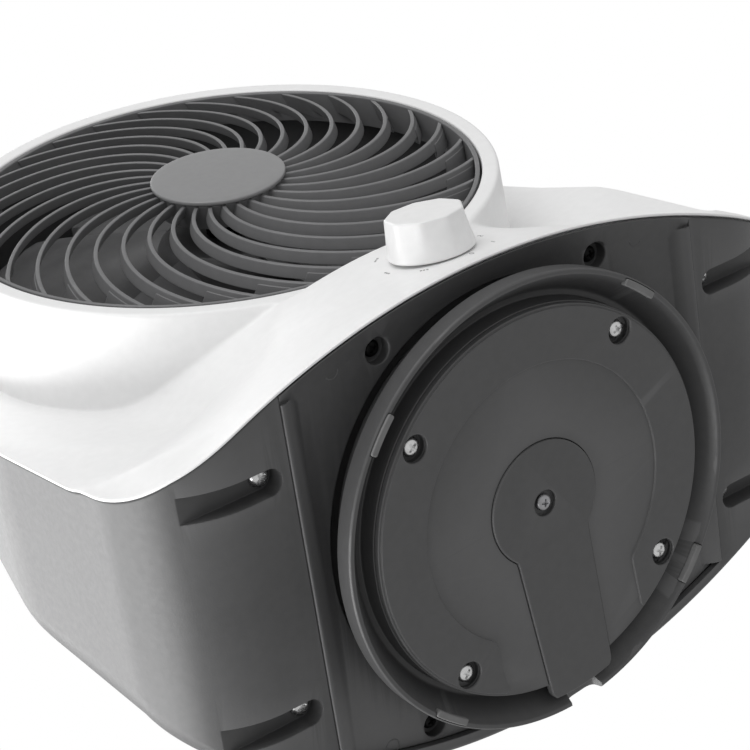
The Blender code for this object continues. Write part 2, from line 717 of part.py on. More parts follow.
def blade(index):
    """One broad blade, thin and twisted: flatter at its tip than at its root."""
    start = 2 * math.pi * index / BLADE_COUNT
    rows = 4
    columns = 4
    front = []
    back = []
    for r in range(rows + 1):
        t = r / rows
        radius = (HUB_RADIUS - 2 * MM) + (BLADE_RADIUS - HUB_RADIUS + 2 * MM) * t
        width = BLADE_WIDTH * (0.78 + 0.22 * t)
        for c in range(columns + 1):
            s = c / columns
            angle = start + width * (s - 0.5) + math.radians(14) * t
            trim = 1.0 - 0.25 * (2 * s - 1) ** 4 * t ** 3
            span = (BLADE_FRONT - 2 * MM) - (BLADE_BACK + 2 * MM)
            pitch = 1.0 - 0.45 * t
            camber = 4 * MM * math.sin(math.pi * s)
            depth = (BLADE_FRONT + BLADE_BACK) / 2 + span * pitch * (0.5 - s) + camber
            spot = polar(radius * trim if t == 1 else radius, angle)
            front.append(Vector((*spot, depth + BLADE_THICKNESS / 2)))
            back.append(Vector((*spot, depth - BLADE_THICKNESS / 2)))
    across = columns + 1
    count = len(front)
    faces = []
    for r in range(rows):
        for c in range(columns):
            i = r * across + c
            quad = (i, i + 1, i + 1 + across, i + across)
            faces.append(quad)
            faces.append(tuple(count + j for j in reversed(quad)))
    border = [c for c in range(columns)]
    border += [r * across + columns for r in range(rows)]
    border += [rows * across + c for c in range(columns, 0, -1)]
    border += [r * across for r in range(rows, 0, -1)]
    for a, b in zip(border, border[1:] + border[:1]):
        faces.append((a, b, count + b, count + a))
    return mesh_object("blade", front + back, faces)


def impeller(mat, axis):
    """A cup-shaped hub with five blades."""
    inner = HUB_RADIUS - WALL
    web = BLADE_FRONT - 5 * MM
    hub = [(SHAFT_RADIUS + 0.2 * MM, BLADE_FRONT), (HUB_RADIUS - 4 * MM, BLADE_FRONT),
           (HUB_RADIUS, BLADE_FRONT - 4 * MM), (HUB_RADIUS, BLADE_BACK), (inner, BLADE_BACK),
           (inner, web), (9 * MM, web), (9 * MM, BLADE_BACK + 6 * MM),
           (SHAFT_RADIUS + 0.2 * MM, BLADE_BACK + 6 * MM)]
    wheel = turned("impeller", hub, mat, axis, segments=40)
    blades = joined("blades", [blade(i) for i in range(BLADE_COUNT)])
    blades.parent = axis
    boolean(wheel, "UNION", blades)
    # The hub's hollow and bore stay clear of the blades' roots.
    hollow = [(9 * MM, BLADE_BACK - 6 * MM), (inner, BLADE_BACK - 6 * MM), (inner, web), (9 * MM, web)]
    boolean(wheel, "DIFFERENCE", turned("hub_hollow", hollow, parent=axis, segments=40))
    return wheel


def motor_screw_spots():
    return [(-24 * MM, 0.0), (24 * MM, 0.0)]


def motor_parts(steel, dark, axis):
    """Motor, its shaft, the nut that holds the impeller, and the three-armed bracket."""
    bore = SHAFT_RADIUS + 0.4 * MM
    can = [(bore, MOTOR_BACK - 4 * MM), (12 * MM, MOTOR_BACK - 4 * MM), (12 * MM, MOTOR_BACK),
           (MOTOR_RADIUS - 4 * MM, MOTOR_BACK), (MOTOR_RADIUS, MOTOR_BACK + 5 * MM),
           (MOTOR_RADIUS, MOTOR_FRONT - 5 * MM), (MOTOR_RADIUS - 4 * MM, MOTOR_FRONT - GAP),
           (bore, MOTOR_FRONT - GAP)]
    motor = turned("motor", can, steel, axis, segments=32)
    hole_ends = (MOTOR_FRONT - 6 * MM, MOTOR_FRONT + 5 * MM)
    boolean(motor, "DIFFERENCE", rounds("motor_holes", SCREW_HOLE, *hole_ends, motor_screw_spots(), axis))
    shaft = [(0.0, MOTOR_BACK - 9 * MM), (SHAFT_RADIUS, MOTOR_BACK - 8 * MM), (SHAFT_RADIUS, -13 * MM),
             (0.0, -12 * MM)]
    turned("motor_shaft", shaft, steel, axis, segments=16, bored=False)
    nut_front = BLADE_FRONT + GAP
    nut = [(SHAFT_RADIUS + 0.2 * MM, nut_front), (8 * MM, nut_front), (8 * MM, nut_front + 3 * MM),
           (6 * MM, nut_front + 4 * MM), (SHAFT_RADIUS + 0.2 * MM, nut_front + 4 * MM)]
    turned("impeller_nut", nut, dark, axis, segments=12)


def motor_bracket(mat, axis):
    """A ring behind the duct, three arms and the plate that carries the motor."""
    top = DUCT_DEPTH - GAP
    ring = [(112.5 * MM, top - 3 * MM), (121 * MM, top - 3 * MM), (121 * MM, top), (112.5 * MM, top)]
    bracket = turned("motor_bracket", ring, mat, axis, segments=SEGMENTS)
    plate_top = MOTOR_FRONT + 5.5 * MM
    plate = [(8 * MM, MOTOR_FRONT), (34 * MM, MOTOR_FRONT), (34 * MM, plate_top), (8 * MM, plate_top)]
    arms = []
    for i in range(ARM_COUNT):
        a = math.radians(90 + 360 * i / ARM_COUNT)
        arm = box("arm", (30 * MM, -6 * MM, MOTOR_FRONT + 0.5 * MM), (115 * MM, 6 * MM, top - 0.4 * MM))
        arm.matrix_basis = Matrix.Rotation(a, 4, "Z")
        arms.append(arm)
    arms = joined("bracket_arms", arms)
    arms.parent = axis
    boolean(bracket, "UNION", arms)
    boolean(bracket, "UNION", turned("bracket_plate", plate, parent=axis, segments=32))
    spots = bracket_screw_spots() + motor_screw_spots()
    boolean(bracket, "DIFFERENCE", rounds("bracket_holes", SCREW_HOLE, -90 * MM, -30 * MM, spots, axis))
    return bracket


# ---------------------------------------------------------------- knob and switch

def knob(mat, axis):
    """A tapered knob with eight uneven facets, chamfered at its top and bored for the shaft."""
    corners = (0, 38, 88, 142, 180, 228, 270, 318)
    rings = []
    chamfer = 0.9 * MM
    levels = ((KNOB_RADIUS, 0.6 * MM), (KNOB_RADIUS - 0.3 * MM, 4 * MM),
              (KNOB_TOP_RADIUS, KNOB_HEIGHT - chamfer), (KNOB_TOP_RADIUS - chamfer, KNOB_HEIGHT))
    for radius, z in levels:
        rings.append([Vector((*polar(radius, math.radians(a + 12)), z)) for a in corners])
    body = loft("knob", rings, mat, axis)
    bore = cylinder("knob_bore", SHAFT_RADIUS + 0.2 * MM, -2 * MM, 12.3 * MM, parent=axis, segments=16)
    boolean(body, "DIFFERENCE", bore)
    return body


def switch_parts(dark, steel, axis):
    """The rotary switch behind the apron and the shaft that its knob turns."""
    back = -22 * MM
    front = -WALL - 1.8 * MM
    body = box("rotary_switch", (-13 * MM, -11 * MM, back), (13 * MM, 11 * MM, front), dark, axis)
    bore = cylinder("switch_bore", SHAFT_RADIUS + 0.3 * MM, -16 * MM, 0.0, parent=axis, segments=16)
    boolean(body, "DIFFERENCE", bore)
    shaft = [(0.0, -15 * MM), (SHAFT_RADIUS, -15 * MM), (SHAFT_RADIUS, 12 * MM), (0.0, 12 * MM)]
    return turned("switch_shaft", shaft, steel, axis, segments=16, bored=False)


# ---------------------------------------------------------------- base

def base_screw_angles():
    return [math.radians(45 + 90 * i) for i in range(4)]


def base_screw_spots():
    return [polar(BASE_SCREW_RADIUS, a) for a in base_screw_angles()]


def base_tray(mat, axis):
    """The round foot: rim, groove, seat for the cover, hub and pivot boss."""
    profile = [(1.9, 7.3), (14.5, 7.3), (14.5, 19.5), (73.5, 19.5), (73.5, 4.3), (77.2, 4.3),
               (77.2, 7.0), (80.2, 7.0), (87.0, 1.6), (87.6, 0.8), (89.2, 0.8), (90.0, 1.8),
               (89.6, 9.0), (88.6, 9.8), (83.5, 10.4), (81.0, 11.5), (81.0, 21.0), (80.0, 22.0),
               (16.0, 22.0), (16.0, 33.5), (1.9, 33.5)]
    tray = turned("base_tray", [(r * MM, z * MM) for r, z in profile], mat, axis, segments=SEGMENTS)
    spots = base_screw_spots()
    boolean(tray, "UNION", rounds("screw_posts", 5.5 * MM, 7.3 * MM, 20.5 * MM, spots, axis, segments=16))
    boolean(tray, "DIFFERENCE", rounds("post_pilots", SCREW_HOLE, 0.0, 18 * MM, spots, axis))
    pilots = rounds("boss_pilots", SCREW_HOLE, 25 * MM, 40 * MM, washer_screw_spots(), axis)
    boolean(tray, "DIFFERENCE", pilots)
    way = cylinder("cord_way", CORD_WAY, 0.0, 40 * MM, CORD_WAY_SPOT, parent=axis, segments=16)
    boolean(tray, "DIFFERENCE", way)
    reliefs = rounds("seat_reliefs", SEAT_BOSS_RADIUS + 1 * MM, 0.0, 7.2 * MM, spots, axis, segments=16)
    boolean(tray, "DIFFERENCE", reliefs)
    notch = box("cord_notch", (-NOTCH_HALF, 78 * MM, -1 * MM), (NOTCH_HALF, 95 * MM, 6.6 * MM), parent=axis)
    boolean(tray, "DIFFERENCE", notch)
    return tray


def washer_screw_spots():
    return [polar(WASHER_SCREW_RADIUS, math.radians(a)) for a in (0, 180, 270)]


def keyhole(grow=0.0):
    """A round head about the axis and a slightly tapered tongue that runs to the rim."""
    radius = KEYHOLE_RADIUS + grow
    near = KEYHOLE_HALF_NEAR + grow
    far = KEYHOLE_HALF_FAR + grow
    corner = 4.5 * MM
    meet = math.asin(near / radius)
    points = []
    steps = 20
    sweep = 2 * math.pi - 2 * meet
    for i in range(steps + 1):
        a = math.pi / 2 + meet + sweep * i / steps
        points.append(polar(radius, a))
    end = KEYHOLE_END + grow
    shoulder = end * math.cos(math.asin(far / end))
    turn = arc(far - corner, shoulder - corner, corner, 0, 70, 3)
    points += turn
    points += [polar(end, math.radians(90 - aside)) for aside in (5, 0, -5)]
    points += [(-x, y) for x, y in reversed(turn)]
    return points


def base_cover(mat, axis):
    """The disc under the foot, with a raised C-shaped land and four sunk screw seats."""
    disc = circle(COVER_RADIUS, segments=SEGMENTS)
    cover = prism("base_cover", [(p.x, p.y) for p in disc], COVER_Z, COVER_TOP_Z, mat, axis)
    land_z = COVER_Z - COVER_LAND
    root_z = COVER_Z + 0.5 * MM
    section = [(LAND_INNER_RADIUS, land_z), (COVER_RADIUS - 1 * MM, land_z),
               (COVER_RADIUS - 0.4 * MM, root_z), (LAND_INNER_RADIUS, root_z)]
    land = turned("land", section, parent=axis, segments=SEGMENTS)
    land_end = box("land_end", (-LAND_END, 0.0, -5 * MM), (LAND_END, 95 * MM, 10 * MM), parent=axis)
    boolean(land, "DIFFERENCE", land_end)
    boolean(cover, "UNION", baked(land))
    boolean(cover, "DIFFERENCE", prism("keyhole_opening", keyhole(GAP), 0.0, 10 * MM, parent=axis))
    # Each sunk seat needs more depth than the disc has, so a short boss backs it.
    spots = base_screw_spots()
    bosses = rounds("seat_bosses", SEAT_BOSS_RADIUS, 3 * MM, 7 * MM, spots, axis, segments=24)
    boolean(cover, "UNION", bosses)
    seats = rounds("screw_seats", SEAT_RADIUS, 0.0, 5.2 * MM, spots, axis, segments=24)
    boolean(cover, "DIFFERENCE", seats)
    boolean(cover, "DIFFERENCE", rounds("screw_holes", SCREW_HOLE, 0.0, 9 * MM, spots, axis))
    return cover


def channel_cover(mat, axis):
    """The keyhole-shaped cover of the cord channel, with a sunk seat for its screw."""
    plate = prism("channel_cover", keyhole(), 0.9 * MM, COVER_TOP_Z, mat, axis)
    seat = cylinder("centre_seat", 5.8 * MM, 0.0, 2.8 * MM, parent=axis, segments=20)
    boolean(plate, "DIFFERENCE", seat)
    boolean(plate, "DIFFERENCE", cylinder("centre_hole", SCREW_HOLE, 0.0, 9 * MM, parent=axis, segments=12))
    return plate


def rubber_pad(index, angle, mat, axis):
    """A short arc of rubber let into the rim. The four pads carry the fan."""
    inner, outer = PAD_RADII
    points = []
    for i in range(5):
        points.append(polar(outer, angle - PAD_ARC / 2 + PAD_ARC * i / 4))
    for i in range(5):
        points.append(polar(inner, angle + PAD_ARC / 2 - PAD_ARC * i / 4))
    return prism("rubber_pad_%d" % index, points, 0.0, 2.6 * MM, mat, axis)


def pad_seats(tray, axis):
    """Pockets in the rim that hold the pads with a little clearance."""
    inner, outer = PAD_RADII
    seats = []
    for angle in base_screw_angles():
        half = PAD_ARC / 2 + GAP / outer
        points = []
        for i in range(5):
            points.append(polar(outer + GAP, angle - half + 2 * half * i / 4))
        for i in range(5):
            points.append(polar(inner - GAP, angle + half - 2 * half * i / 4))
        seats.append(prism("seat", points, -1 * MM, 2.9 * MM))
    seats = joined("pad_seats", seats)
    seats.parent = axis
    boolean(tray, "DIFFERENCE", seats)


def retaining_washer(mat, axis):
    """The disc on the pivot boss that keeps the housing on the base."""
    low = BOSS_TOP_Z + GAP
    profile = [(1.9 * MM, low), (27 * MM, low), (27 * MM, low + 2 * MM), (1.9 * MM, low + 2 * MM)]
    washer = turned("retaining_washer", profile, mat, axis, segments=32)
    ends = (low - 5 * MM, low + 5 * MM)
    way = cylinder("cord_way", CORD_WAY, *ends, CORD_WAY_SPOT, segments=16)
    cuts = joined("washer_cuts", [rounds("washer_holes", SCREW_HOLE, *ends, washer_screw_spots()), way])
    cuts.parent = axis
    boolean(washer, "DIFFERENCE", cuts)
    return washer


# ---------------------------------------------------------------- assembly

def centre_on_origin():
    """Shift the model along Y, so that the origin is on the table under its middle."""
    bpy.context.view_layer.update()
    depsgraph = bpy.context.evaluated_depsgraph_get()
    spread = []
    for obj in bpy.data.objects:
        if obj.type == "MESH" and not obj.hide_render:
            shape = obj.evaluated_get(depsgraph).to_mesh()
            spread += [(obj.matrix_world @ v.co).y for v in shape.vertices]
    middle = (min(spread) + max(spread)) / 2
    for obj in bpy.data.objects:
        if obj.parent is None:
            obj.location.y -= middle


def main():
    clear_scene()
    white = material("white_shell", (0.86, 0.86, 0.86), 0.32)
    knob_white = material("knob_white", (0.84, 0.84, 0.84), 0.38)
    dark = material("dark_shell", (0.075, 0.075, 0.077), 0.5)
    base_dark = material("base_dark", (0.07, 0.07, 0.072), 0.5)
    grille_grey = material("grille_grey", (0.12, 0.12, 0.123), 0.38)
    cap_grey = material("cap_grey", (0.24, 0.24, 0.245), 0.35)
    blade_grey = material("blade_grey", (0.1, 0.1, 0.102), 0.4)
    steel = material("zinc_steel", (0.7, 0.7, 0.7), 0.3, 1.0)
    black_steel = material("black_steel", (0.05, 0.05, 0.05), 0.45, 0.8)
    motor_steel = material("motor_steel", (0.45, 0.45, 0.46), 0.4, 1.0)
    rubber = material("pad_rubber", (0.16, 0.16, 0.16), 0.8)

    fan_axis = empty("fan_axis", FAN_CENTRE, (math.pi / 2 + FAN_DIP, 0.0, 0.0))
    knob_turn = knob_matrix()
    knob_axis = empty("knob_axis", knob_turn.to_translation(), knob_turn.to_euler())
    base_axis = empty("base_axis", (0.0, 0.0, 0.0), (0.0, 0.0, BASE_TURN))

    front_shell(white)
    rear_shell(dark)
    bottom_panel(dark)
    rear_grille(dark)
    swirl_grille(grille_grey, fan_axis)
    grille_cap(cap_grey, fan_axis)
    impeller(blade_grey, fan_axis)
    motor_parts(motor_steel, black_steel, fan_axis)
    motor_bracket(dark, fan_axis)
    knob(knob_white, knob_axis)
    switch_parts(black_steel, steel, knob_axis)

    tray = base_tray(base_dark, base_axis)
    pad_seats(tray, base_axis)
    base_cover(base_dark, base_axis)
    channel_cover(base_dark, base_axis)
    retaining_washer(motor_steel, base_axis)

    pan = screw_mesh("pan_screw", 3.8 * MM, 2.4 * MM, 1.6 * MM, 11 * MM, steel)
    small = screw_mesh("small_screw", 3.3 * MM, 1.8 * MM, 1.6 * MM, 8 * MM, black_steel)
    inner = screw_mesh("inner_screw", 3.3 * MM, 1.8 * MM, 1.6 * MM, 8 * MM, steel, recess=False)
    for i, angle in enumerate(base_screw_angles()):
        rubber_pad(i + 1, angle, rubber, base_axis)
    for i, spot in enumerate(base_screw_spots()):
        screw("base_screw_%d" % (i + 1), pan, (*spot, 4.9 * MM), parent=base_axis)
    screw("channel_screw", small, (0.0, 0.0, 2.5 * MM), parent=base_axis)
    for i, spot in enumerate(washer_screw_spots()):
        top = BOSS_TOP_Z + 2 * GAP + 2 * MM
        screw("washer_screw_%d" % (i + 1), inner, (*spot, top), (math.pi, 0.0, 0.0), base_axis)

    flanks = [(side, y) for side in (-1, 1) for y in POCKET_YS]
    for i, (side, y) in enumerate(flanks):
        screw("flank_screw_%d" % (i + 1), pan, (side * POCKET_INNER_X, y, POCKET_FLOOR_Z - GAP))
    deep = [(x, y) for x in (-DEEP_HOLE_X, DEEP_HOLE_X) for y in DEEP_HOLE_YS]
    for i, (x, y) in enumerate(deep):
        screw("panel_screw_%d" % (i + 1), inner, (x, y, DEEP_HOLE_TOP - 2 * MM - GAP))
    for i, spot in enumerate(bracket_screw_spots()):
        depth = DUCT_DEPTH - 3 * MM - 2 * GAP
        screw("bracket_screw_%d" % (i + 1), inner, (*spot, depth), parent=fan_axis)
    for i, spot in enumerate(motor_screw_spots()):
        depth = MOTOR_FRONT + 5.5 * MM + GAP
        screw("motor_screw_%d" % (i + 1), inner, (*spot, depth), (math.pi, 0.0, 0.0), fan_axis)
    centre_on_origin()


main()
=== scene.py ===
"""Looks for the compact air mover: fine moulded surfaces, grille, base and fasteners over the CAD frame."""

import json
import math

import bmesh
import bpy
from mathutils import Matrix, Vector


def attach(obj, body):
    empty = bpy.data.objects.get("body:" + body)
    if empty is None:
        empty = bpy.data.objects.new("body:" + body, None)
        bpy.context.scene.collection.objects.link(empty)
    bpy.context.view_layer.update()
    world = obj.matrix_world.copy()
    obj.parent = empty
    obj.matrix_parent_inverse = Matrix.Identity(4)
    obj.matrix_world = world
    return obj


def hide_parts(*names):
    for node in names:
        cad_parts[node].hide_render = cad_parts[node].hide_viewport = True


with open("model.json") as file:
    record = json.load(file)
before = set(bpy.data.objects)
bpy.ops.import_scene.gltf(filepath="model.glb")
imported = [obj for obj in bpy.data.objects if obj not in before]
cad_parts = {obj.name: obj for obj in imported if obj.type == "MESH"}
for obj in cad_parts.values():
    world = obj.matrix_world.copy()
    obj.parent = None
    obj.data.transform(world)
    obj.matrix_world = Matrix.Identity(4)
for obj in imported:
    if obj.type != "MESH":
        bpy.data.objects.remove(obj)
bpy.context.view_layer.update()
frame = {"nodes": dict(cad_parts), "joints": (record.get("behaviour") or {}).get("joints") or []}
JOINTS = {joint["name"]: joint for joint in frame["joints"]}

# Lengths are in millimetres until a mesh is made.
MM = 0.001
WALL = 2.5
SHIFT = JOINTS["base_swivel"]["pos_m"][1] / MM

FAN_CENTRE = Vector(JOINTS["impeller_spin"]["pos_m"]) / MM - Vector((0, SHIFT, 0))
FAN_FORWARD = Vector(JOINTS["impeller_spin"]["axis"]).normalized()
KNOB_CENTRE = Vector(JOINTS["knob_turn"]["pos_m"]) / MM - Vector((0, SHIFT, 0))
KNOB_FORWARD = Vector(JOINTS["knob_turn"]["axis"]).normalized()

LOW_Z = 15.8
HALF_WIDTH = 155.5
CORNER_RADIUS = 40
SHOULDER_Z = 135
SHOULDER_ROUND = 12
TOP_RADIUS = 130
LIP_DEPTH = 1.0
# Front face: shoulders dished round the fan ring, and an apron that swells forwards under it.
SHOULDER_Y = -51.4
SHOULDER_SLOPE = 0.045
SHOULDER_LEVEL_Z = 170
DISH_DEPTH = 7
DISH_RADIUS = 165
DISH_WIDTH = 46
APRON_Y = -96
APRON_SLOPE = 0.12
APRON_CURVE = 1.79
APRON_HUG = 2.6
APRON_HUG_RADIUS = 205
APRON_HUG_WIDTH = 60
APRON_HEIGHT = 66
APRON_FADE_Z = 150
APRON_BLEND = 8
FLARE = 3
FLARE_HEIGHT = 20
FLARE_X = 90
FLARE_WIDTH = 50
REAR_Y = 99
REAR_CURVE = 2.1e-3
REAR_SLOPE = 0.09
SHELL_INSET = 0.8
SHELL_GAP = 0.5
RIM_INSET = SHELL_INSET + WALL + SHELL_GAP
INTAKE_RADIUS = 92
CREASE_RADIUS = 118.8
CREST_RADIUS = 117.3
THROAT_RADIUS = 110.2
DUCT_DEPTH = -60
PANEL_Z = 19.4
PANEL_HALF = 96.7
WELL_RADIUS = 85
WELL_FLOOR_Z = 25.4
POCKET_YS = (-48, 47)
POCKET_FLOOR_Z = 25
POCKET_INNER_X = 106
POCKET_RADIUS = 5.3
DEEP_HOLES = [(x, y) for x in (-51.5, 51.5) for y in (-77.5, 80.0)]
BASE_TURN = math.radians(-5.3)
BASE_SCREW_RADIUS = 70.2
BASE_ANGLES = [math.radians(45 + 90 * i) for i in range(4)]
VANE_COUNT = 30
VANE_START = math.radians(0.5)
VANE_SWEEP = math.radians(51.4)
VANE_SWEEP_POWER = 1.35
VANE_INNER = 25.5
VANE_LENGTH = 81.6
VANE_TOP = 3.7
VANE_DROP = 4.8
VANE_DROP_POWER = 2.1
VANE_HEIGHT = 4.6
VANE_LEAN = 1.3
VANE_HALF = 0.9
VANE_ROUND = 0.45
GRILLE_RADIUS = THROAT_RADIUS - 0.9
BLADE_COUNT = 5


# ---------------------------------------------------------------- frames

def facing(centre, forward):
    """A frame at centre whose Z is forward and whose X is the row's X."""
    across = Vector((1, 0, 0))
    up = forward.cross(across)
    turn = Matrix((across, up, forward)).transposed().to_4x4()
    return Matrix.Translation(centre) @ turn


PLAIN = Matrix.Identity(4)
FAN = facing(FAN_CENTRE, FAN_FORWARD)
KNOB = facing(KNOB_CENTRE, KNOB_FORWARD)
BASE = Matrix.Rotation(BASE_TURN, 4, "Z")


def polar(radius, angle):
    return radius * math.cos(angle), radius * math.sin(angle)


def fan_point(radius, angle, depth):
    return FAN @ Vector((*polar(radius, angle), depth))


# ---------------------------------------------------------------- meshes

def place(name, bm, mats, body, where=PLAIN, angle=38, nodes=(), show=True):
    """A finished piece from a bmesh in millimetres, in a local frame, riding on a body."""
    mesh = bpy.data.meshes.new(name)
    bm.to_mesh(mesh)
    bm.free()
    mesh.transform(Matrix.Scale(MM, 4))
    for mat in (mats if isinstance(mats, (list, tuple)) else [mats]):
        mesh.materials.append(mat)
    mesh.shade_smooth()
    mesh.set_sharp_from_angle(angle=math.radians(angle))
    obj = bpy.data.objects.new(name, mesh)
    bpy.context.scene.collection.objects.link(obj)
    world = Matrix.Translation((0, SHIFT, 0)) @ where
    world.translation = world.translation * MM
    obj.matrix_world = world
    if show:
        weigh = obj.modifiers.new("Even normals", "WEIGHTED_NORMAL")
        weigh.keep_sharp = True
        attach(obj, body)
        if nodes:
            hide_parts(*nodes)
    return obj


def lattice(rings, closed_ring=True, closed_rows=False, caps=True, tips=None):
    """A bmesh through rings of points."""
    bm = bmesh.new()
    rows = [[bm.verts.new(p) for p in ring] for ring in rings]
    size = len(rows[0])
    last = len(rows) if closed_rows else len(rows) - 1
    for r in range(last):
        a, b = rows[r], rows[(r + 1) % len(rows)]
        for i in range(size if closed_ring else size - 1):
            j = (i + 1) % size
            bm.faces.new((a[i], a[j], b[j], b[i]))
    if tips:
        first, end = bm.verts.new(tips[0]), bm.verts.new(tips[1])
        for i in range(size):
            j = (i + 1) % size
            bm.faces.new((first, rows[0][j], rows[0][i]))
            bm.faces.new((end, rows[-1][i], rows[-1][j]))
    elif not closed_rows and caps:
        bm.faces.new(rows[0])
        bm.faces.new(list(reversed(rows[-1])))
    bmesh.ops.recalc_face_normals(bm, faces=bm.faces)
    return bm


def rounded(points, steps=4, closed=False):
    """Rounds the corners of a line of (point, radius). A radius of 0 keeps the point as it is."""
    out = []
    count = len(points)
    for i, (here, radius) in enumerate(points):
        if radius <= 0 or (not closed and i in (0, count - 1)):
            out.append(Vector(here))
            continue
        here = Vector(here)
        before = Vector(points[i - 1][0])
        after = Vector(points[(i + 1) % count][0])
        start = here + (before - here) * min(radius / max((before - here).length, 1e-6), 0.48)
        end = here + (after - here) * min(radius / max((after - here).length, 1e-6), 0.48)
        for k in range(steps + 1):
            t = k / steps
            out.append(start * (1 - t) ** 2 + here * 2 * t * (1 - t) + end * t * t)
    return out


def turned(profile, segments=96, steps=4, bored=True):
    """A turned bmesh about Z from (radius, z, rounding) corners, bored (a closed loop) or solid."""
    line = rounded([((r, z), c) for r, z, c in profile], steps, closed=bored)
    if bored:
        turns = [2 * math.pi * i / segments for i in range(segments)]
        rings = [[Vector((*polar(p.x, turn), p.y)) for turn in turns] for p in line]
        return lattice(rings, closed_rows=True)
    rings = [[Vector((*polar(p.x, 2 * math.pi * i / segments), p.y)) for i in range(segments)]
             for p in line[1:-1]]
    return lattice(rings, tips=(Vector((0, 0, line[0].y)), Vector((0, 0, line[-1].y))))


def ring_path(radius, segments=48, centre=(0, 0)):
    return [(centre[0] + radius * math.cos(2 * math.pi * i / segments),
             centre[1] + radius * math.sin(2 * math.pi * i / segments)) for i in range(segments)]


def shrink(path, inset):
    """A closed counter-clockwise (x, y) path moved inwards."""
    out = []
    count = len(path)
    for i, p in enumerate(path):
        a = Vector(path[i - 1])
        b = Vector(path[(i + 1) % count])
        here = Vector(p)
        d1 = (here - a).normalized()
        d2 = (b - here).normalized()
        n1 = Vector((-d1.y, d1.x))
        n2 = Vector((-d2.y, d2.x))
        n = n1 + n2
        n = n / max(n.length_squared / 2, 0.6)
        out.append(tuple(here + n * inset))
    return out


def slab(path, low, high, rim_low=0.0, rim_high=0.0, steps=4):
    """A flat plate with its low and high edges rounded by the given radii."""
    levels = []
    if rim_low:
        levels += [(rim_low * (1 - math.sin(math.pi / 2 * k / steps)),
                    low + rim_low * (1 - math.cos(math.pi / 2 * k / steps))) for k in range(steps + 1)]
    else:
        levels.append((0, low))
    if rim_high:
        levels += [(rim_high * (1 - math.cos(math.pi / 2 * k / steps)),
                    high - rim_high * (1 - math.sin(math.pi / 2 * k / steps))) for k in range(steps + 1)]
    else:
        levels.append((0, high))
    rings = [[Vector((x, y, z)) for x, y in shrink(path, inset)] for inset, z in levels]
    return lattice(rings)


def join(parts):
    """One bmesh from several."""
    out = bmesh.new()
    for part in parts:
        mesh = bpy.data.meshes.new("part")
        part.to_mesh(mesh)
        part.free()
        out.from_mesh(mesh)
        bpy.data.meshes.remove(mesh)
    return out


def moved(bm, matrix):
    bm.transform(matrix)
    return bm


def shaped(target, *steps):
    """A bmesh after Booleans: steps are (operation, bmesh) pairs, applied in turn."""
    def as_object(bm):
        bmesh.ops.triangulate(bm, faces=[face for face in bm.faces if len(face.verts) > 4])
        mesh = bpy.data.meshes.new("work")
        bm.to_mesh(mesh)
        bm.free()
        obj = bpy.data.objects.new("work", mesh)
        bpy.context.scene.collection.objects.link(obj)
        return obj

    body = as_object(target)
    for operation, other in steps:
        tool = as_object(other)
        mod = body.modifiers.new("cut", "BOOLEAN")
        mod.operation = operation
        mod.solver = "EXACT"
        mod.object = tool
        bpy.context.view_layer.update()
        mesh = bpy.data.meshes.new_from_object(body.evaluated_get(bpy.context.evaluated_depsgraph_get()))
        body.modifiers.clear()
        body.data = mesh
        bpy.data.objects.remove(tool, do_unlink=True)
    out = bmesh.new()
    out.from_mesh(body.data)
    bpy.data.objects.remove(body, do_unlink=True)
    return out


# ---------------------------------------------------------------- materials

class Nodes:
    """A short way to build a node material on the object's own coordinates."""

    def __init__(self, name):
        self.mat = bpy.data.materials.new(name)
        self.mat.use_nodes = True
        self.tree = self.mat.node_tree
        self.tree.nodes.clear()
        self.out = self.add("ShaderNodeOutputMaterial")
        self.shader = self.add("ShaderNodeBsdfPrincipled")
        self.link(self.shader, "BSDF", self.out, "Surface")
        self.place = self.add("ShaderNodeTexCoord")

    def add(self, kind, **values):
        node = self.tree.nodes.new(kind)
        for key, value in values.items():
            setattr(node, key, value)
        return node

    def link(self, a, out, b, into):
        self.tree.links.new(a.outputs[out], b.inputs[into])

    def noise(self, scale, detail=2.0, roughness=0.5, stretch=None):
        node = self.add("ShaderNodeTexNoise")
        node.inputs["Scale"].default_value = scale
        node.inputs["Detail"].default_value = detail
        node.inputs["Roughness"].default_value = roughness
        if stretch:
            mapping = self.add("ShaderNodeMapping")
            mapping.inputs["Scale"].default_value = stretch
            self.link(self.place, "Object", mapping, "Vector")
            self.link(mapping, "Vector", node, "Vector")
        else:
            self.link(self.place, "Object", node, "Vector")
        return node

    def ramp(self, source, out, low, high, from_low=0.35, from_high=0.65):
        node = self.add("ShaderNodeMapRange")
        node.inputs["From Min"].default_value = from_low
        node.inputs["From Max"].default_value = from_high
        node.inputs["To Min"].default_value = low
        node.inputs["To Max"].default_value = high
        self.link(source, out, node, "Value")
        return node

    def mix(self, kind, a, b, factor):
        """Mixes two colours, each a tuple or a (node, output) pair, by a factor node pair or number."""
        node = self.add("ShaderNodeMix", data_type="RGBA", blend_type=kind)
        for index, value in ((6, a), (7, b)):
            if isinstance(value[0], bpy.types.Node):
                self.tree.links.new(value[0].outputs[value[1]], node.inputs[index])
            else:
                node.inputs[index].default_value = (*value[:3], 1)
        if isinstance(factor, tuple):
            self.tree.links.new(factor[0].outputs[factor[1]], node.inputs[0])
        else:
            node.inputs[0].default_value = factor
        return node


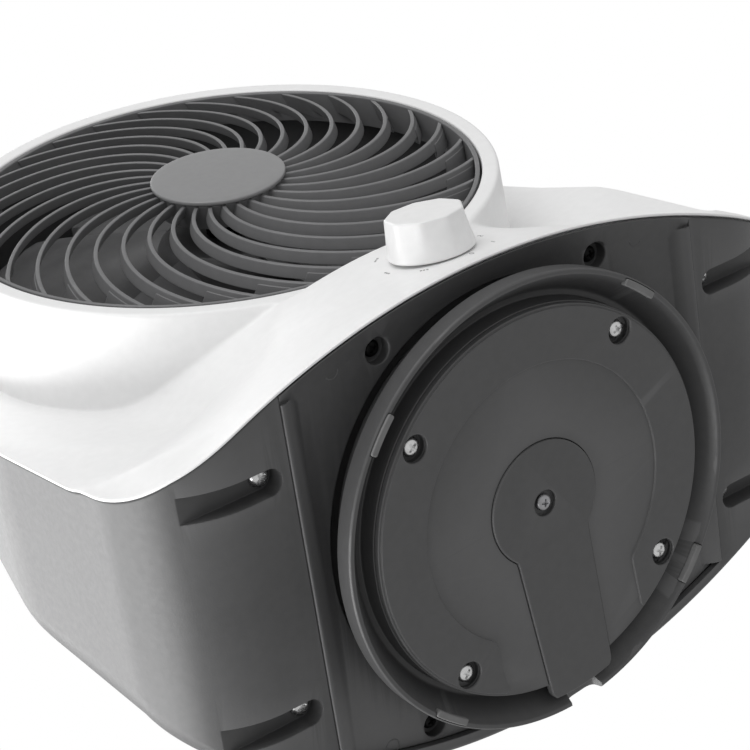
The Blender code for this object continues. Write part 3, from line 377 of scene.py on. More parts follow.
def plastic(name, color, roughness, grain=0.0, grain_scale=2600.0, vary=0.05, edge=0.5, edge_wear_highlight=0.25,
            coat=0.0):
    """Moulded plastic: faint cloudiness, a fine spark texture, softened edges, and convex edges painted paler,
    partly as wear and partly as a painted highlight.
    """
    n = Nodes(name)
    cloud = n.noise(260.0, 3.0)
    tone = n.ramp(cloud, "Fac", 1 - vary, 1 + vary)
    tinted = n.mix("MULTIPLY", color, (tone, "Result"), 1.0)
    colour = (tinted, 2)
    # Convex edges are painted paler by pointiness: partly wear, partly a painted highlight of the catch-light
    # on rounded edges.
    if edge_wear_highlight:
        geometry = n.add("ShaderNodeNewGeometry")
        wear_and_highlight = n.ramp(geometry, "Pointiness", 0.0, edge_wear_highlight, 0.505, 0.56)
        pale = tuple(min(1.0, c * 1.6 + 0.03) for c in color)
        worn_and_lit = n.mix("MIX", (tinted, 2), pale, (wear_and_highlight, "Result"))
        colour = (worn_and_lit, 2)
    n.link(colour[0], colour[1], n.shader, "Base Color")
    blotch = n.noise(420.0, 3.0)
    rough = n.ramp(blotch, "Fac", roughness * 0.95, roughness * 1.05)
    n.link(rough, "Result", n.shader, "Roughness")
    soft = n.add("ShaderNodeBevel", samples=6)
    soft.inputs["Radius"].default_value = edge * MM
    normal = (soft, "Normal")
    if grain:
        fine = n.noise(grain_scale, 2.0, 0.6)
        bump = n.add("ShaderNodeBump")
        bump.inputs["Strength"].default_value = grain
        bump.inputs["Distance"].default_value = 0.00012
        n.link(fine, "Fac", bump, "Height")
        n.link(soft, "Normal", bump, "Normal")
        normal = (bump, "Normal")
    n.link(normal[0], normal[1], n.shader, "Normal")
    n.shader.inputs["IOR"].default_value = 1.5
    n.shader.inputs["Coat Weight"].default_value = coat
    n.shader.inputs["Coat Roughness"].default_value = 0.2
    return n.mat


def metal(name, color, roughness, scratch=900.0, grain=0.25, metallic=1.0):
    """Plated or cast metal with fine turning marks and uneven polish."""
    n = Nodes(name)
    cloud = n.noise(220.0, 4.0)
    tone = n.ramp(cloud, "Fac", 0.82, 1.12)
    tinted = n.mix("MULTIPLY", color, (tone, "Result"), 1.0)
    n.link(tinted, 2, n.shader, "Base Color")
    n.shader.inputs["Metallic"].default_value = metallic
    patch = n.noise(400.0, 3.0)
    rough = n.ramp(patch, "Fac", roughness * 0.7, roughness * 1.35)
    n.link(rough, "Result", n.shader, "Roughness")
    fine = n.noise(scratch, 3.0, 0.7, (1.0, 1.0, 6.0))
    bump = n.add("ShaderNodeBump")
    bump.inputs["Strength"].default_value = grain
    bump.inputs["Distance"].default_value = 0.00005
    n.link(fine, "Fac", bump, "Height")
    n.link(bump, "Normal", n.shader, "Normal")
    return n.mat


WHITE = plastic("white_moulded", (0.86, 0.86, 0.86), 0.36, 0.10, 2200.0, 0.012, 0.5, 0.0)
KNOB_WHITE = plastic("knob_moulded", (0.85, 0.85, 0.85), 0.34, 0.08, 2200.0, 0.015, 0.4, 0.0)
DARK = plastic("charcoal_moulded", (0.068, 0.068, 0.069), 0.46, 0.32, 1500.0, 0.04, 0.7, 0.5)
BASE_DARK = plastic("charcoal_base", (0.066, 0.066, 0.067), 0.46, 0.32, 1500.0, 0.04, 0.45, 0.5)
GRILLE = plastic("grille_grey_moulded", (0.15, 0.15, 0.153), 0.36, 0.15, 1800.0, 0.04, 0.4, 0.3)
CAP = plastic("cap_grey_moulded", (0.24, 0.24, 0.243), 0.34, 0.25, 2200.0, 0.02, 0.4, 0.0)
BLADES = plastic("blade_grey_moulded", (0.10, 0.10, 0.102), 0.38, 0.1, 1800.0, 0.05, 0.4, 0.2)
# Near-black material for the duct behind the grille: painted shade standing in for the shade deep inside the
# white moulding.
DUCT_SHADE_PAINT = plastic("duct_painted_shade", (0.05, 0.05, 0.051), 0.5, 0.2, 1800.0, 0.05, 0.4, 0.2)
SWITCH = plastic("switch_black", (0.03, 0.03, 0.03), 0.45, 0.2, 1800.0, 0.05, 0.3, 0.2)
RUBBER = plastic("pad_rubber", (0.15, 0.15, 0.15), 0.75, 0.5, 1200.0, 0.08, 0.4, 0.2)
ZINC = metal("zinc_plate", (0.80, 0.80, 0.80), 0.26)
# Black oxide steel, made nearly black to paint the shade of the deep underside holes onto the screws in them;
# the impeller nut shares it.
BLACK_OXIDE_HOLE_SHADE = metal("black_oxide_and_hole_shade", (0.018, 0.018, 0.018), 0.6)
MOTOR = metal("cast_motor", (0.42, 0.42, 0.43), 0.45, 500.0, 0.5)
SHAFT = metal("ground_shaft", (0.62, 0.62, 0.63), 0.22)
PRINT = plastic("dial_print", (0.35, 0.35, 0.35), 0.6, 0.05, 1800.0, 0.02, 0.1, 0.0)


# ---------------------------------------------------------------- housing surfaces

def ramp(value):
    return min(max(value, 0.0), 1.0)


def face_y(x, z):
    """Front face: shoulders dished round the fan ring, and the apron, blended."""
    out = math.hypot(x, z - FAN_CENTRE.z)
    dish = DISH_DEPTH * ramp((DISH_RADIUS - out) / DISH_WIDTH)
    shoulder = SHOULDER_Y + SHOULDER_SLOPE * min(z, SHOULDER_LEVEL_Z) + dish
    hug = ramp((APRON_HUG_RADIUS - out) / APRON_HUG_WIDTH)
    curve = (APRON_CURVE + APRON_HUG * hug * ramp((z - LOW_Z) / APRON_HEIGHT)) * 1e-3
    foot = ramp(1.0 - (z - LOW_Z) / FLARE_HEIGHT) ** 2
    aside = ramp((abs(x) - FLARE_X) / FLARE_WIDTH) ** 2
    flare = FLARE * (1 - (1 - foot) * (1 - aside))
    apron = APRON_Y + APRON_SLOPE * z + curve * x * x + max(z - APRON_FADE_Z, 0.0) - flare
    near = max(APRON_BLEND - abs(apron - shoulder), 0.0) / APRON_BLEND
    return min(apron, shoulder) - near * near * APRON_BLEND / 4


def rear_y(x, z):
    return REAR_Y - REAR_CURVE * x * x - REAR_SLOPE * (z - LOW_Z)


def rear_edge_radius(z):
    rise = min(max((z - LOW_Z) / CORNER_RADIUS, 0.0), 1.0)
    return 3 + 13 * rise


def sweep(cx, cz, radius, start, end, steps):
    turns = [math.radians(start + (end - start) * i / steps) for i in range(steps + 1)]
    return [(cx + radius * math.cos(turn), cz + radius * math.sin(turn)) for turn in turns]


def outline(inset=0.0, fine=1.0):
    """The housing from the front, counter-clockwise from the bottom centre."""
    def n(count):
        return max(2, round(count * fine))
    half = HALF_WIDTH - inset
    low = LOW_Z + inset
    corner = CORNER_RADIUS - inset
    top = TOP_RADIUS - inset
    cz = FAN_CENTRE.z
    drop = SHOULDER_Z - cz
    tangent = math.degrees(math.atan2(drop, half) + math.acos(top / math.hypot(half, drop)))
    right = [((half - corner) * i / n(36), low) for i in range(n(36))]
    right += sweep(half - corner, low + corner, corner, -90, 0, n(24))
    crown = sweep(0.0, cz, top, tangent, 90, n(64))
    start = Vector((half, low + corner))
    knee = Vector((half, SHOULDER_Z))
    top_end = Vector(crown[0])
    a = knee - Vector((0, SHOULDER_ROUND))
    b = knee + (top_end - knee).normalized() * SHOULDER_ROUND
    for i in range(1, n(14)):
        p = start.lerp(a, i / n(14))
        right.append((p.x, p.y))
    for i in range(n(10) + 1):
        t = i / n(10)
        p = a * (1 - t) ** 2 + knee * 2 * t * (1 - t) + b * t * t
        right.append((p.x, p.y))
    for i in range(1, n(16)):
        p = b.lerp(top_end, i / n(16))
        right.append((p.x, p.y))
    right += crown
    return right + [(-x, z) for x, z in reversed(right[1:-1])]


def toward(points, share):
    cz = FAN_CENTRE.z
    return [(x * share, cz + (z - cz) * share) for x, z in points]


# ---------------------------------------------------------------- front shell

def front_shell():
    edge = outline()
    inner = outline(RIM_INSET)
    angles = [math.atan2(z - FAN_CENTRE.z, x) for x, z in edge]
    cz = FAN_CENTRE.z
    shares = [0.012, 0.03, 0.06, 0.1] + [0.1 + 0.84 * i / 24 for i in range(1, 25)] + [0.965]
    lines = []
    for (x, z), (ix, iz), a in zip(edge, inner, angles):
        away = Vector((x, z - cz))
        crease = away.normalized() * CREASE_RADIUS

        def on_face(share, offset=0.0, from_xz=None):
            spot = (from_xz or away).lerp(crease, share)
            return Vector((spot.x, face_y(spot.x, spot.y + cz) + offset, spot.y + cz))

        corner = Vector((x, face_y(x, z), z))
        points = [(Vector((ix, face_y(ix, iz) + LIP_DEPTH, iz)), 0),
                  (Vector((x, face_y(x, z) + LIP_DEPTH, z)), 0.2), (corner, 0.6)]
        points += [(on_face(s), 0) for s in shares]
        points.append((on_face(1.0), 1.8))
        points.append((fan_point(CREST_RADIUS, a, 0.0), 1.9))
        points.append((fan_point(THROAT_RADIUS, a, -0.4), 1.3))
        points.append((fan_point(THROAT_RADIUS, a, -6.0), 0))
        points.append((fan_point(THROAT_RADIUS, a, DUCT_DEPTH), 0))
        points.append((fan_point(122, a, DUCT_DEPTH), 0))
        points.append((fan_point(122, a, DUCT_DEPTH + 2.5), 0))
        points.append((fan_point(THROAT_RADIUS + WALL, a, DUCT_DEPTH + 2.5), 0))
        points.append((fan_point(THROAT_RADIUS + WALL, a, -6.0), 0))
        proud = fan_point(CREASE_RADIUS, a, 0.0).y - face_y(crease.x, crease.y + cz)
        side = -min(max(proud / 5, -1.0), 1.0)
        points.append((fan_point(CREST_RADIUS - 2.3 * side, a, -6.0), 0))
        behind = away.normalized() * (CREASE_RADIUS - WALL * side)
        points.append((Vector((behind.x, face_y(crease.x, crease.y + cz) + WALL, behind.y + cz)), 0))
        inward = Vector((ix, iz - cz))
        points += [(on_face(s, WALL, inward), 0) for s in [1 - i / 16 for i in range(2, 17)]]
        lines.append(rounded(points, 4, closed=True))
    rings = [[line[k] for line in lines] for k in range(len(lines[0]))]
    bm = lattice(rings, closed_rows=True)
    place_fan = FAN.inverted()
    # Faces deep in the duct behind the grille take the second slot and are painted dark as the shade inside
    # the duct.
    for face in bm.faces:
        spot = place_fan @ face.calc_center_median()
        if spot.z < -5.9 and math.hypot(spot.x, spot.y) < THROAT_RADIUS + 1:
            face.material_index = 1
    return place("front_shell_moulding", bm, [WHITE, DUCT_SHADE_PAINT], "housing",
                 nodes=("front_shell",))


# ---------------------------------------------------------------- rear shell and underside

def housing_volume(inset, front_offset, rear_offset, fine, edge_round):
    rim = outline(inset, fine)
    cz = FAN_CENTRE.z
    rings = []
    for share in (0.3, 0.6, 0.8, 0.93):
        rings.append([Vector((x, face_y(x, z) + front_offset, z)) for x, z in toward(rim, share)])
    if edge_round:
        for k in range(5):
            t = math.pi / 2 * k / 4
            ring = []
            for x, z in outline(inset + edge_round * (1 - math.sin(t)), fine):
                ring.append(Vector((x, face_y(x, z) + front_offset + edge_round * (1 - math.cos(t)), z)))
            rings.append(ring)
    else:
        rings.append([Vector((x, face_y(x, z) + front_offset, z)) for x, z in rim])
    for k in range(1, 5):
        ring = []
        for x, z in rim:
            y0 = face_y(x, z) + front_offset + edge_round
            y1 = rear_y(x, z) - rear_offset - rear_edge_radius(z)
            ring.append(Vector((x, y0 + (y1 - y0) * k / 4, z)))
        rings.append(ring)
    steps = 9 if fine >= 1 else 3
    for k in range(1, steps + 1):
        turn = math.pi / 2 * k / steps
        ring = []
        for x, z in rim:
            radius = rear_edge_radius(z)
            away = Vector((x, 0.0, z - cz))
            inner = away * (1 - radius * (1 - math.cos(turn)) / away.length)
            y = rear_y(inner.x, inner.z + cz) - rear_offset - radius * (1 - math.sin(turn))
            ring.append(Vector((inner.x, y, inner.z + cz)))
        rings.append(ring)
    flat = [(p.x, p.z) for p in rings[-1]]
    for share in (0.92, 0.84, 0.76, 0.6, 0.3):
        rings.append([Vector((x, rear_y(x, z) - rear_offset, z)) for x, z in toward(flat, share)])
    bm = lattice(rings, tips=(Vector((0, face_y(0, cz) + front_offset, cz)),
                              Vector((0, rear_y(0, cz) - rear_offset, cz))))
    bmesh.ops.triangulate(bm, faces=bm.faces)
    return bm


def panel_path(clearance=0.0, reach=0.0, count=41):
    half = PANEL_HALF + clearance
    xs = [-half + 2 * half * i / count for i in range(count + 1)]
    front = [(x, face_y(x, PANEL_Z + WALL) + WALL + SHELL_GAP + 0.3 - clearance - reach) for x in xs]
    back = [(x, rear_y(x, LOW_Z) - 6.5 + clearance) for x in reversed(xs)]
    return front + back


def pocket_path(side, y, grow=0.0):
    radius = POCKET_RADIUS + grow
    path = [(side * (POCKET_INNER_X + radius * math.cos(math.radians(90 + 180 * i / 24))),
             y + radius * math.sin(math.radians(90 + 180 * i / 24))) for i in range(25)]
    path += [(side * HALF_WIDTH * 1.1, y - radius), (side * HALF_WIDTH * 1.1, y + radius)]
    return path if side > 0 else path[::-1]


def prism(path, low, high):
    return lattice([[Vector((x, y, z)) for x, y in path] for z in (low, high)])


def drum(radius, low, high, centre=(0, 0), segments=48):
    return prism(ring_path(radius, segments, centre), low, high)


def flared(radius, mouth, depth, rim, centre=(0, 0), segments=48):
    """A cutter for a blind round hole from below at z = mouth, whose edge is rounded by rim."""
    levels = [(radius + rim + 0.01, mouth - 5), (radius + rim, mouth - 0.01)]
    for k in range(1, 5):
        turn = math.pi / 2 * k / 4
        levels.append((radius + rim * (1 - math.sin(turn)), mouth + rim * (1 - math.cos(turn))))
    levels.append((radius, mouth + depth))
    return lattice([[Vector((x, y, z)) for x, y in ring_path(r, segments, centre)] for r, z in levels])


def rear_shell():
    shell = housing_volume(SHELL_INSET, LIP_DEPTH + SHELL_GAP, 0.0, 1.0, 1.1)
    hollow = housing_volume(SHELL_INSET + WALL, -6.0, WALL, 0.3, 0)
    spots = [(side, y) for side in (-1, 1) for y in POCKET_YS]
    walls = join([prism(pocket_path(s, y, 2), 0, POCKET_FLOOR_Z + WALL) for s, y in spots])
    hollow = shaped(hollow, ("DIFFERENCE", walls))
    slots = join([prism(pocket_path(s, y), 0, POCKET_FLOOR_Z) for s, y in spots])
    opening = prism(panel_path(0.3, 8), 0, LOW_Z + 8)
    intake = moved(drum(INTAKE_RADIUS, -250, -100, segments=128),
                   Matrix.Translation((0, FAN_CENTRE.y, FAN_CENTRE.z)) @ Matrix.Rotation(math.pi / 2, 4, "X"))
    bm = shaped(shell, ("DIFFERENCE", hollow), ("DIFFERENCE", slots), ("DIFFERENCE", opening),
                ("DIFFERENCE", intake))
    return place("rear_shell_moulding", bm, DARK, "housing", angle=32, nodes=("rear_shell",))


def bottom_panel():
    path = panel_path()
    bm = slab(path, PANEL_Z, PANEL_Z + WALL)
    front, back = path[0][1], path[-1][1]
    # The front rail's edge is rounded and lies flush with the white lip.
    profile = [(3.3, PANEL_Z + 1, 0), (3.3, 18.8, 0), (1.8, 18.8, 0.2), (1.8, LOW_Z, 0.7),
               (9.8, PANEL_Z, 0), (9.8, PANEL_Z + 1, 0)]
    profile = rounded([(Vector((back_by, z)), r) for back_by, z, r in profile], 4, closed=True)
    rail = lattice([[Vector((x, face_y(x, p.y) + p.x, p.y)) for p in profile] for x, _ in path[:42]])
    steps = [("UNION", rail)]
    for side in (-1, 1):
        outer = side * PANEL_HALF
        inside = side * (PANEL_HALF - 8)
        section = [(outer, LOW_Z + 0.4), (outer - side * 0.4, LOW_Z), (side * (PANEL_HALF - 2), LOW_Z),
                   (inside, PANEL_Z), (inside, PANEL_Z + 1), (outer, PANEL_Z + 1)]
        steps.append(("UNION", lattice([[Vector((x, y, z)) for x, z in section] for y in (front, back)])))
    steps.append(("UNION", drum(WELL_RADIUS + WALL, PANEL_Z + 1, 27.9, segments=128)))
    steps.append(("DIFFERENCE", flared(WELL_RADIUS, PANEL_Z, WELL_FLOOR_Z - PANEL_Z, 0.6, segments=160)))
    steps.append(("UNION", drum(26, 22.4, 33.2, segments=64)))
    steps.append(("DIFFERENCE", drum(16.4, 0, 50, segments=64)))
    steps.append(("UNION", join([drum(6.4, PANEL_Z + 1, 26, spot, 32) for spot in DEEP_HOLES])))
    steps.append(("DIFFERENCE", join([flared(5.2, PANEL_Z, 4.6, 0.6, spot, 40) for spot in DEEP_HOLES])))
    bm = shaped(bm, *steps)
    place("underside_panel", bm, DARK, "housing", angle=32, nodes=("bottom_panel",))
    rings = []
    for x, y in DEEP_HOLES:
        ring = turned([(2.6, PANEL_Z + 0.05, 0), (2.9, PANEL_Z - 0.08, 0), (3.1, PANEL_Z - 0.08, 0),
                       (3.4, PANEL_Z + 0.05, 0)], 40, 2)
        rings.append(moved(ring, Matrix.Translation((x * 1.4, y, 0))))
    place("ejector_rings", join(rings), DARK, "housing")


# ---------------------------------------------------------------- grille, cap and impeller

def vane_at(index, t):
    """A vane's turn, radius and front height at t along it, and how much its slant widens it."""
    turn = VANE_START + 2 * math.pi * index / VANE_COUNT + VANE_SWEEP * t ** VANE_SWEEP_POWER
    radius = VANE_INNER + VANE_LENGTH * t
    slope = VANE_SWEEP_POWER * VANE_SWEEP * t ** (VANE_SWEEP_POWER - 1) * radius / VANE_LENGTH
    return turn, radius, VANE_TOP - VANE_DROP * t ** VANE_DROP_POWER, math.hypot(1.0, slope)


def vane_section(index, t, corners):
    """One (across, z) section of a vane, set round the fan axis."""
    turn, radius, _, wide = vane_at(index, t)
    return [Vector((*polar(radius, turn + across * wide / radius), z)) for across, z in corners]


def vane(index):
    """One swirl vane with a squarish front edge, sweeping round as it runs out."""
    rings = []
    steps = 34
    for k in range(steps + 1):
        t = k / steps
        top = vane_at(index, t)[2]
        low = top - VANE_HEIGHT
        section = []
        for side, start in ((1, 0.0), (-1, math.pi / 2)):
            for j in range(4):
                turn = start + math.pi / 2 * j / 3
                section.append((side * (VANE_HALF - VANE_ROUND) + VANE_ROUND * math.cos(turn),
                                top - VANE_ROUND + VANE_ROUND * math.sin(turn)))
        section += [(-VANE_HALF - VANE_LEAN, low), (VANE_HALF - VANE_LEAN, low)]
        rings.append(vane_section(index, t, section))
    return lattice(rings)


def vane_root(index):
    """The deeper foot where a vane meets the outer band."""
    rings = []
    for k in range(7):
        t = 0.86 + 0.14 * k / 6
        top = vane_at(index, t)[2] - 2.0
        low = top - 6
        rings.append(vane_section(index, t, ((0.3, top), (-1.6, top), (-3.3, low), (-1.0, low))))
    return lattice(rings)


def swirl_grille():
    band = turned([(GRILLE_RADIUS, -14, 0), (GRILLE_RADIUS, -0.5, 0.6), (GRILLE_RADIUS - 1.9, -0.7, 0.6),
                   (GRILLE_RADIUS - 2.4, -14, 0)], 192, 4)
    hub = turned([(6, -6, 0), (27, -6.5, 0.5), (27, 3.8, 0.5), (6, 3.8, 0)], 96, 3)
    parts = [band, hub] + [vane(i) for i in range(VANE_COUNT)] + [vane_root(i) for i in range(VANE_COUNT)]
    place("swirl_grille_moulding", join(parts), GRILLE, "housing", FAN, 42, ("swirl_grille",))
    cap = turned([(0, -4, 0), (5.6, -4, 0), (5.6, 4.1, 0), (27.4, 4.1, 0.3), (28.5, 4.7, 0.5),
                  (28.5, 6.3, 0.9), (25.5, 6.7, 1.2), (15, 7.08, 0), (0, 7.2, 0)], 128, 4, bored=False)
    place("grille_cap_disc", cap, CAP, "housing", FAN, 50, ("grille_cap",))


def impeller():
    rows, columns = 12, 12
    parts = []
    for index in range(BLADE_COUNT):
        start = 2 * math.pi * index / BLADE_COUNT
        front, back = [], []
        for r in range(rows + 1):
            t = r / rows
            radius = 28 + 71 * t
            width = math.radians(58) * (0.78 + 0.22 * t)
            for c in range(columns + 1):
                s = c / columns
                angle = start + width * (s - 0.5) + math.radians(14) * t
                end, power = (0.25, 3) if r == rows else (0.1, 6)
                trim = 1.0 - end * (2 * s - 1) ** 4 * t ** power
                depth = -35 + 26 * (1 - 0.45 * t) * (0.5 - s) + 4 * math.sin(math.pi * s)
                spot = polar(radius * trim, angle)
                half = 1.1 * (1 - 0.5 * abs(2 * s - 1) ** 3)
                front.append(Vector((*spot, depth + half)))
                back.append(Vector((*spot, depth - half)))
        bm = bmesh.new()
        fv = [bm.verts.new(p) for p in front]
        bv = [bm.verts.new(p) for p in back]
        across = columns + 1
        for r in range(rows):
            for c in range(columns):
                i = r * across + c
                quad = (i, i + 1, i + 1 + across, i + across)
                bm.faces.new([fv[j] for j in quad])
                bm.faces.new([bv[j] for j in reversed(quad)])
        border = list(range(columns)) + [r * across + columns for r in range(rows)]
        border += [rows * across + c for c in range(columns, 0, -1)]
        border += [r * across for r in range(rows, 0, -1)]
        for a, b in zip(border, border[1:] + border[:1]):
            bm.faces.new((fv[a], fv[b], bv[b], bv[a]))
        bmesh.ops.recalc_face_normals(bm, faces=bm.faces)
        parts.append(bm)
    parts.append(turned([(3.2, -20, 0), (26, -20, 0), (30, -24, 4), (30, -50, 0.5), (27.5, -50, 0.5),
                         (27.5, -25, 1), (9, -25, 0), (9, -44, 0), (3.2, -44, 0)], 96, 4))
    for i in range(6):
        a = math.pi / 3 * i
        rib = prism([(8.5, -0.8), (27.6, -0.8), (27.6, 0.8), (8.5, 0.8)], -40, -24.8)
        parts.append(moved(rib, Matrix.Rotation(a, 4, "Z")))
    place("impeller_moulding", join(parts), BLADES, "impeller_body", FAN, 40, ("impeller",))


def motor():
    """Motor can with end bells, a stack of laminations and vent slots between them."""
    parts = [turned([(3.4, -116, 0), (12, -116, 0.8), (12, -112, 0.8), (30, -112, 2), (36, -107, 2.5),
                     (36, -101, 0.5), (3.4, -101, 0)], 72, 3),
             turned([(3.4, -80, 0), (36, -80, 0.5), (36, -73.5, 2), (33, -69.3, 1.5), (3.4, -69.3, 0)], 72, 3)]
    for i in range(10):
        z = -99.9 + 2.0 * i
        parts.append(turned([(20, z, 0), (37, z, 0.2), (37, z + 1.5, 0.2), (20, z + 1.5, 0)], 72, 2))
    parts.append(turned([(18, -101, 0), (35.5, -101, 0), (35.5, -80, 0), (18, -80, 0)], 72, 2))
    for i in range(4):
        a = math.pi / 4 + math.pi / 2 * i
        lug = prism(ring_path(2.6, 6, polar(33.2, a)), -109.5, -106)
        parts.append(lug)
    place("motor_unit", join(parts), MOTOR, "housing", FAN, 35, ("motor",))


# ---------------------------------------------------------------- knob and dial

def knob():
    """Round at its foot and nine-sided at its top, with the flats fading into each other."""
    sides, around = 9, 72
    rings = []
    levels = [((16.5, 0.6), 0.0), ((16.9, 1.1), 0.0), ((16.7, 3.4), 0.1), ((16.3, 7.0), 0.55),
              ((15.8, 11.0), 0.9), ((15.3, 15.2), 1.0), ((15.1, 15.9), 1.0), ((14.6, 16.25), 1.0),
              ((13.8, 16.3), 1.0)]
    for (radius, z), flat in levels:
        ring = []
        for i in range(around):
            a = 2 * math.pi * i / around
            off = (a + 0.21) % (2 * math.pi / sides) - math.pi / sides
            side = math.cos(math.pi / sides) / math.cos(off)
            ring.append(Vector((*polar(radius * (1 - flat + flat * side * 1.02), a), z)))
        rings.append(ring)
    place("knob_moulding", lattice(rings), KNOB_WHITE, "knob_body", KNOB, 24, ("knob",))


def apron_spot(radius, angle):
    """Where a dial mark sits on the apron, and its frame there."""
    flat = KNOB @ Vector((*polar(radius, math.radians(angle)), 0))
    y = face_y(flat.x, flat.z)
    dx = (face_y(flat.x + 0.5, flat.z) - face_y(flat.x - 0.5, flat.z))
    dz = (face_y(flat.x, flat.z + 0.5) - face_y(flat.x, flat.z - 0.5))
    normal = Vector((dx, -1, dz)).normalized()
    return facing(Vector((flat.x, y, flat.z)) + normal * 0.02, normal)


def dial():
    """Generic dial: round ticks, and the digits 0 to 3."""
    parts = []
    for angle, radius in ((126, 22.7), (176, 20.6), (-136, 19.8)):
        for step in (-3.5, 0, 3.5):
            tick = slab(ring_path(0.5, 20), -0.05, 0.08, 0, 0.03, 2)
            parts.append(moved(tick, apron_spot(radius, angle + step)))
    place("dial_ticks", join(parts), PRINT, "housing", PLAIN, 30)
    for digit, angle, radius in (("0", -76, 19.2), ("1", -35.5, 23.1), ("2", 1, 23.2), ("3", 37, 23.2)):
        curve = bpy.data.curves.new("dial_digit_" + digit, "FONT")
        curve.body = digit
        curve.size = 3.6
        curve.extrude = 0.06
        curve.align_x = "CENTER"
        curve.align_y = "CENTER"
        text = bpy.data.objects.new("dial_digit_" + digit, curve)
        bpy.context.scene.collection.objects.link(text)
        bpy.context.view_layer.update()
        mesh = bpy.data.meshes.new_from_object(text.evaluated_get(bpy.context.evaluated_depsgraph_get()))
        bpy.data.objects.remove(text, do_unlink=True)
        bm = bmesh.new()
        bm.from_mesh(mesh)
        place("dial_digit_" + digit, bm, PRINT, "housing", apron_spot(radius, angle), 30)


# ---------------------------------------------------------------- base

def keyhole(grow=0.0):
    """Round head and tapered tongue, counter-clockwise from the tongue's root."""
    radius, near, far, end = 24.9 + grow, 17.4 + grow, 15.2 + grow, 83.5 + grow
    meet = math.asin(near / radius)
    points = []
    for i in range(73):
        a = math.pi / 2 + meet + (2 * math.pi - 2 * meet) * i / 72
        points.append((*polar(radius, a), 0))
    corner = 4.5
    side = math.asin((far - 0.3) / end)
    line = [(Vector((near, radius * math.cos(meet))), 3.0), (Vector((far, end * math.cos(side))), corner)]
    tip = [(Vector(polar(end, math.pi / 2 - side * (1 - 2 * i / 12))), 0) for i in range(2, 11)]
    tail = [(Vector((-far, end * math.cos(side))), corner), (Vector((-near, radius * math.cos(meet))), 3.0)]
    head = [(Vector((x, y)), 0) for x, y, _ in points[1:-1]]
    path = rounded(line + tip + tail + head, 6, closed=True)
    return [(p.x, p.y) for p in path]


def land_path():
    """The C-shaped land: an annulus with an end each side of the tongue."""
    inner, outer, end = 55.5, 75.8, 34.5
    a_in = math.pi / 2 - math.asin(end / inner)
    a_out = math.pi / 2 - math.asin(end / outer)
    start_out, stop_out = math.pi - a_out, 2 * math.pi + a_out
    line = []
    steps = [0, *range(3, 118), 120]
    for i in steps:
        a = start_out + (stop_out - start_out) * i / 120
        line.append((Vector(polar(outer, a)), 2.4 if i in (0, 120) else 0))
    start_in, stop_in = math.pi - a_in, 2 * math.pi + a_in
    for i in steps:
        a = stop_in + (start_in - stop_in) * i / 120
        line.append((Vector(polar(inner, a)), 2.5 if i in (0, 120) else 0))
    return [(p.x, p.y) for p in rounded(line, 5, closed=True)]


def pad_path(grow=0.0):
    half = math.radians(10.5) / 2 + grow / 88
    inner, outer = 86.2 - grow, 89.0 + grow
    steps = [(half * (2 * i / 10 - 1), 0.8 if i in (0, 10) else 0) for i in range(11)]
    line = [(Vector(polar(outer, turn)), round_by) for turn, round_by in steps]
    line += [(Vector(polar(inner, turn)), round_by) for turn, round_by in reversed(steps)]
    return [(p.x, p.y) for p in rounded(line, 4, closed=True)]


def base():
    tray = turned([(1.9, 7.3, 0), (14.5, 7.3, 0), (14.5, 19.5, 0), (73.5, 19.5, 0), (73.5, 4.3, 0),
                   (77.2, 4.3, 0.2), (77.4, 12.0, 0.6), (80.0, 12.0, 0.8), (87.0, 2.4, 0.5),
                   (88.0, 0.8, 0.4), (89.5, 0.8, 0.3), (90.0, 1.6, 0.3), (89.6, 9.4, 0.8),
                   (88.0, 9.9, 0.8), (83.5, 10.4, 1), (81.0, 11.5, 1), (81.0, 21.0, 0.8),
                   (80.0, 22.0, 0.8), (16.0, 22.0, 1), (16.0, 33.5, 0.6), (1.9, 33.5, 0)], 256, 4)
    arch = [((-8, -1), 0), ((8, -1), 0), ((7.8, 1.4), 0.6), ((6.6, 6.6), 4.5), ((-6.6, 6.6), 4.5),
            ((-7.8, 1.4), 0.6)]
    arch = rounded([(Vector(p), r) for p, r in arch], 8, closed=True)
    notch = lattice([[Vector((p.x, y, p.y)) for p in arch] for y in (79.5, 95)])
    seats = join([moved(slab(pad_path(0.3), -1, 2.9), Matrix.Rotation(a, 4, "Z")) for a in BASE_ANGLES])
    tray = shaped(tray, ("DIFFERENCE", notch), ("DIFFERENCE", seats))
    place("base_tray_moulding", tray, BASE_DARK, "base", BASE, 32, ("base_tray",))

    screw_spots = [polar(BASE_SCREW_RADIUS, a) for a in BASE_ANGLES]
    disc = slab(ring_path(76.8, 256), 1.8, 4.0, 0.5, 0)
    land = slab(land_path(), 1.0, 2.4, 0.4, 0)
    bosses = join([drum(6.45, 3, 7, spot, 48) for spot in screw_spots])
    seats = join([flared(5.4, 1.0, 4.2, 0.5, spot) for spot in screw_spots])
    holes = join([drum(1.9, 0, 9, spot, 24) for spot in screw_spots])
    wells = join([drum(5.4, 0, 5.2, spot, 48) for spot in screw_spots])
    cover = join([shaped(disc, ("DIFFERENCE", prism(keyhole(0.35), 0, 10)), ("DIFFERENCE", wells.copy())),
                  shaped(land, ("DIFFERENCE", seats)),
                  shaped(bosses, ("DIFFERENCE", wells), ("DIFFERENCE", holes))])
    place("base_cover_disc", cover, BASE_DARK, "base", BASE, 32, ("base_cover",))

    tongue = shaped(slab(keyhole(), 0.9, 4.0, 0.7, 0), ("DIFFERENCE", flared(5.2, 0.9, 2.0, 0.5)),
                    ("DIFFERENCE", drum(1.9, 0, 9)))
    place("channel_cover_plate", tongue, BASE_DARK, "base", BASE, 32, ("channel_cover",))

    for i, a in enumerate(BASE_ANGLES):
        pad = slab(pad_path(), 0.0, 2.6, 0.5, 0)
        name = "rubber_pad_%d" % (i + 1)
        where = BASE @ Matrix.Rotation(a, 4, "Z")
        place(name + "_moulding", pad, RUBBER, "base", where, 40, (name,))


# ---------------------------------------------------------------- fasteners

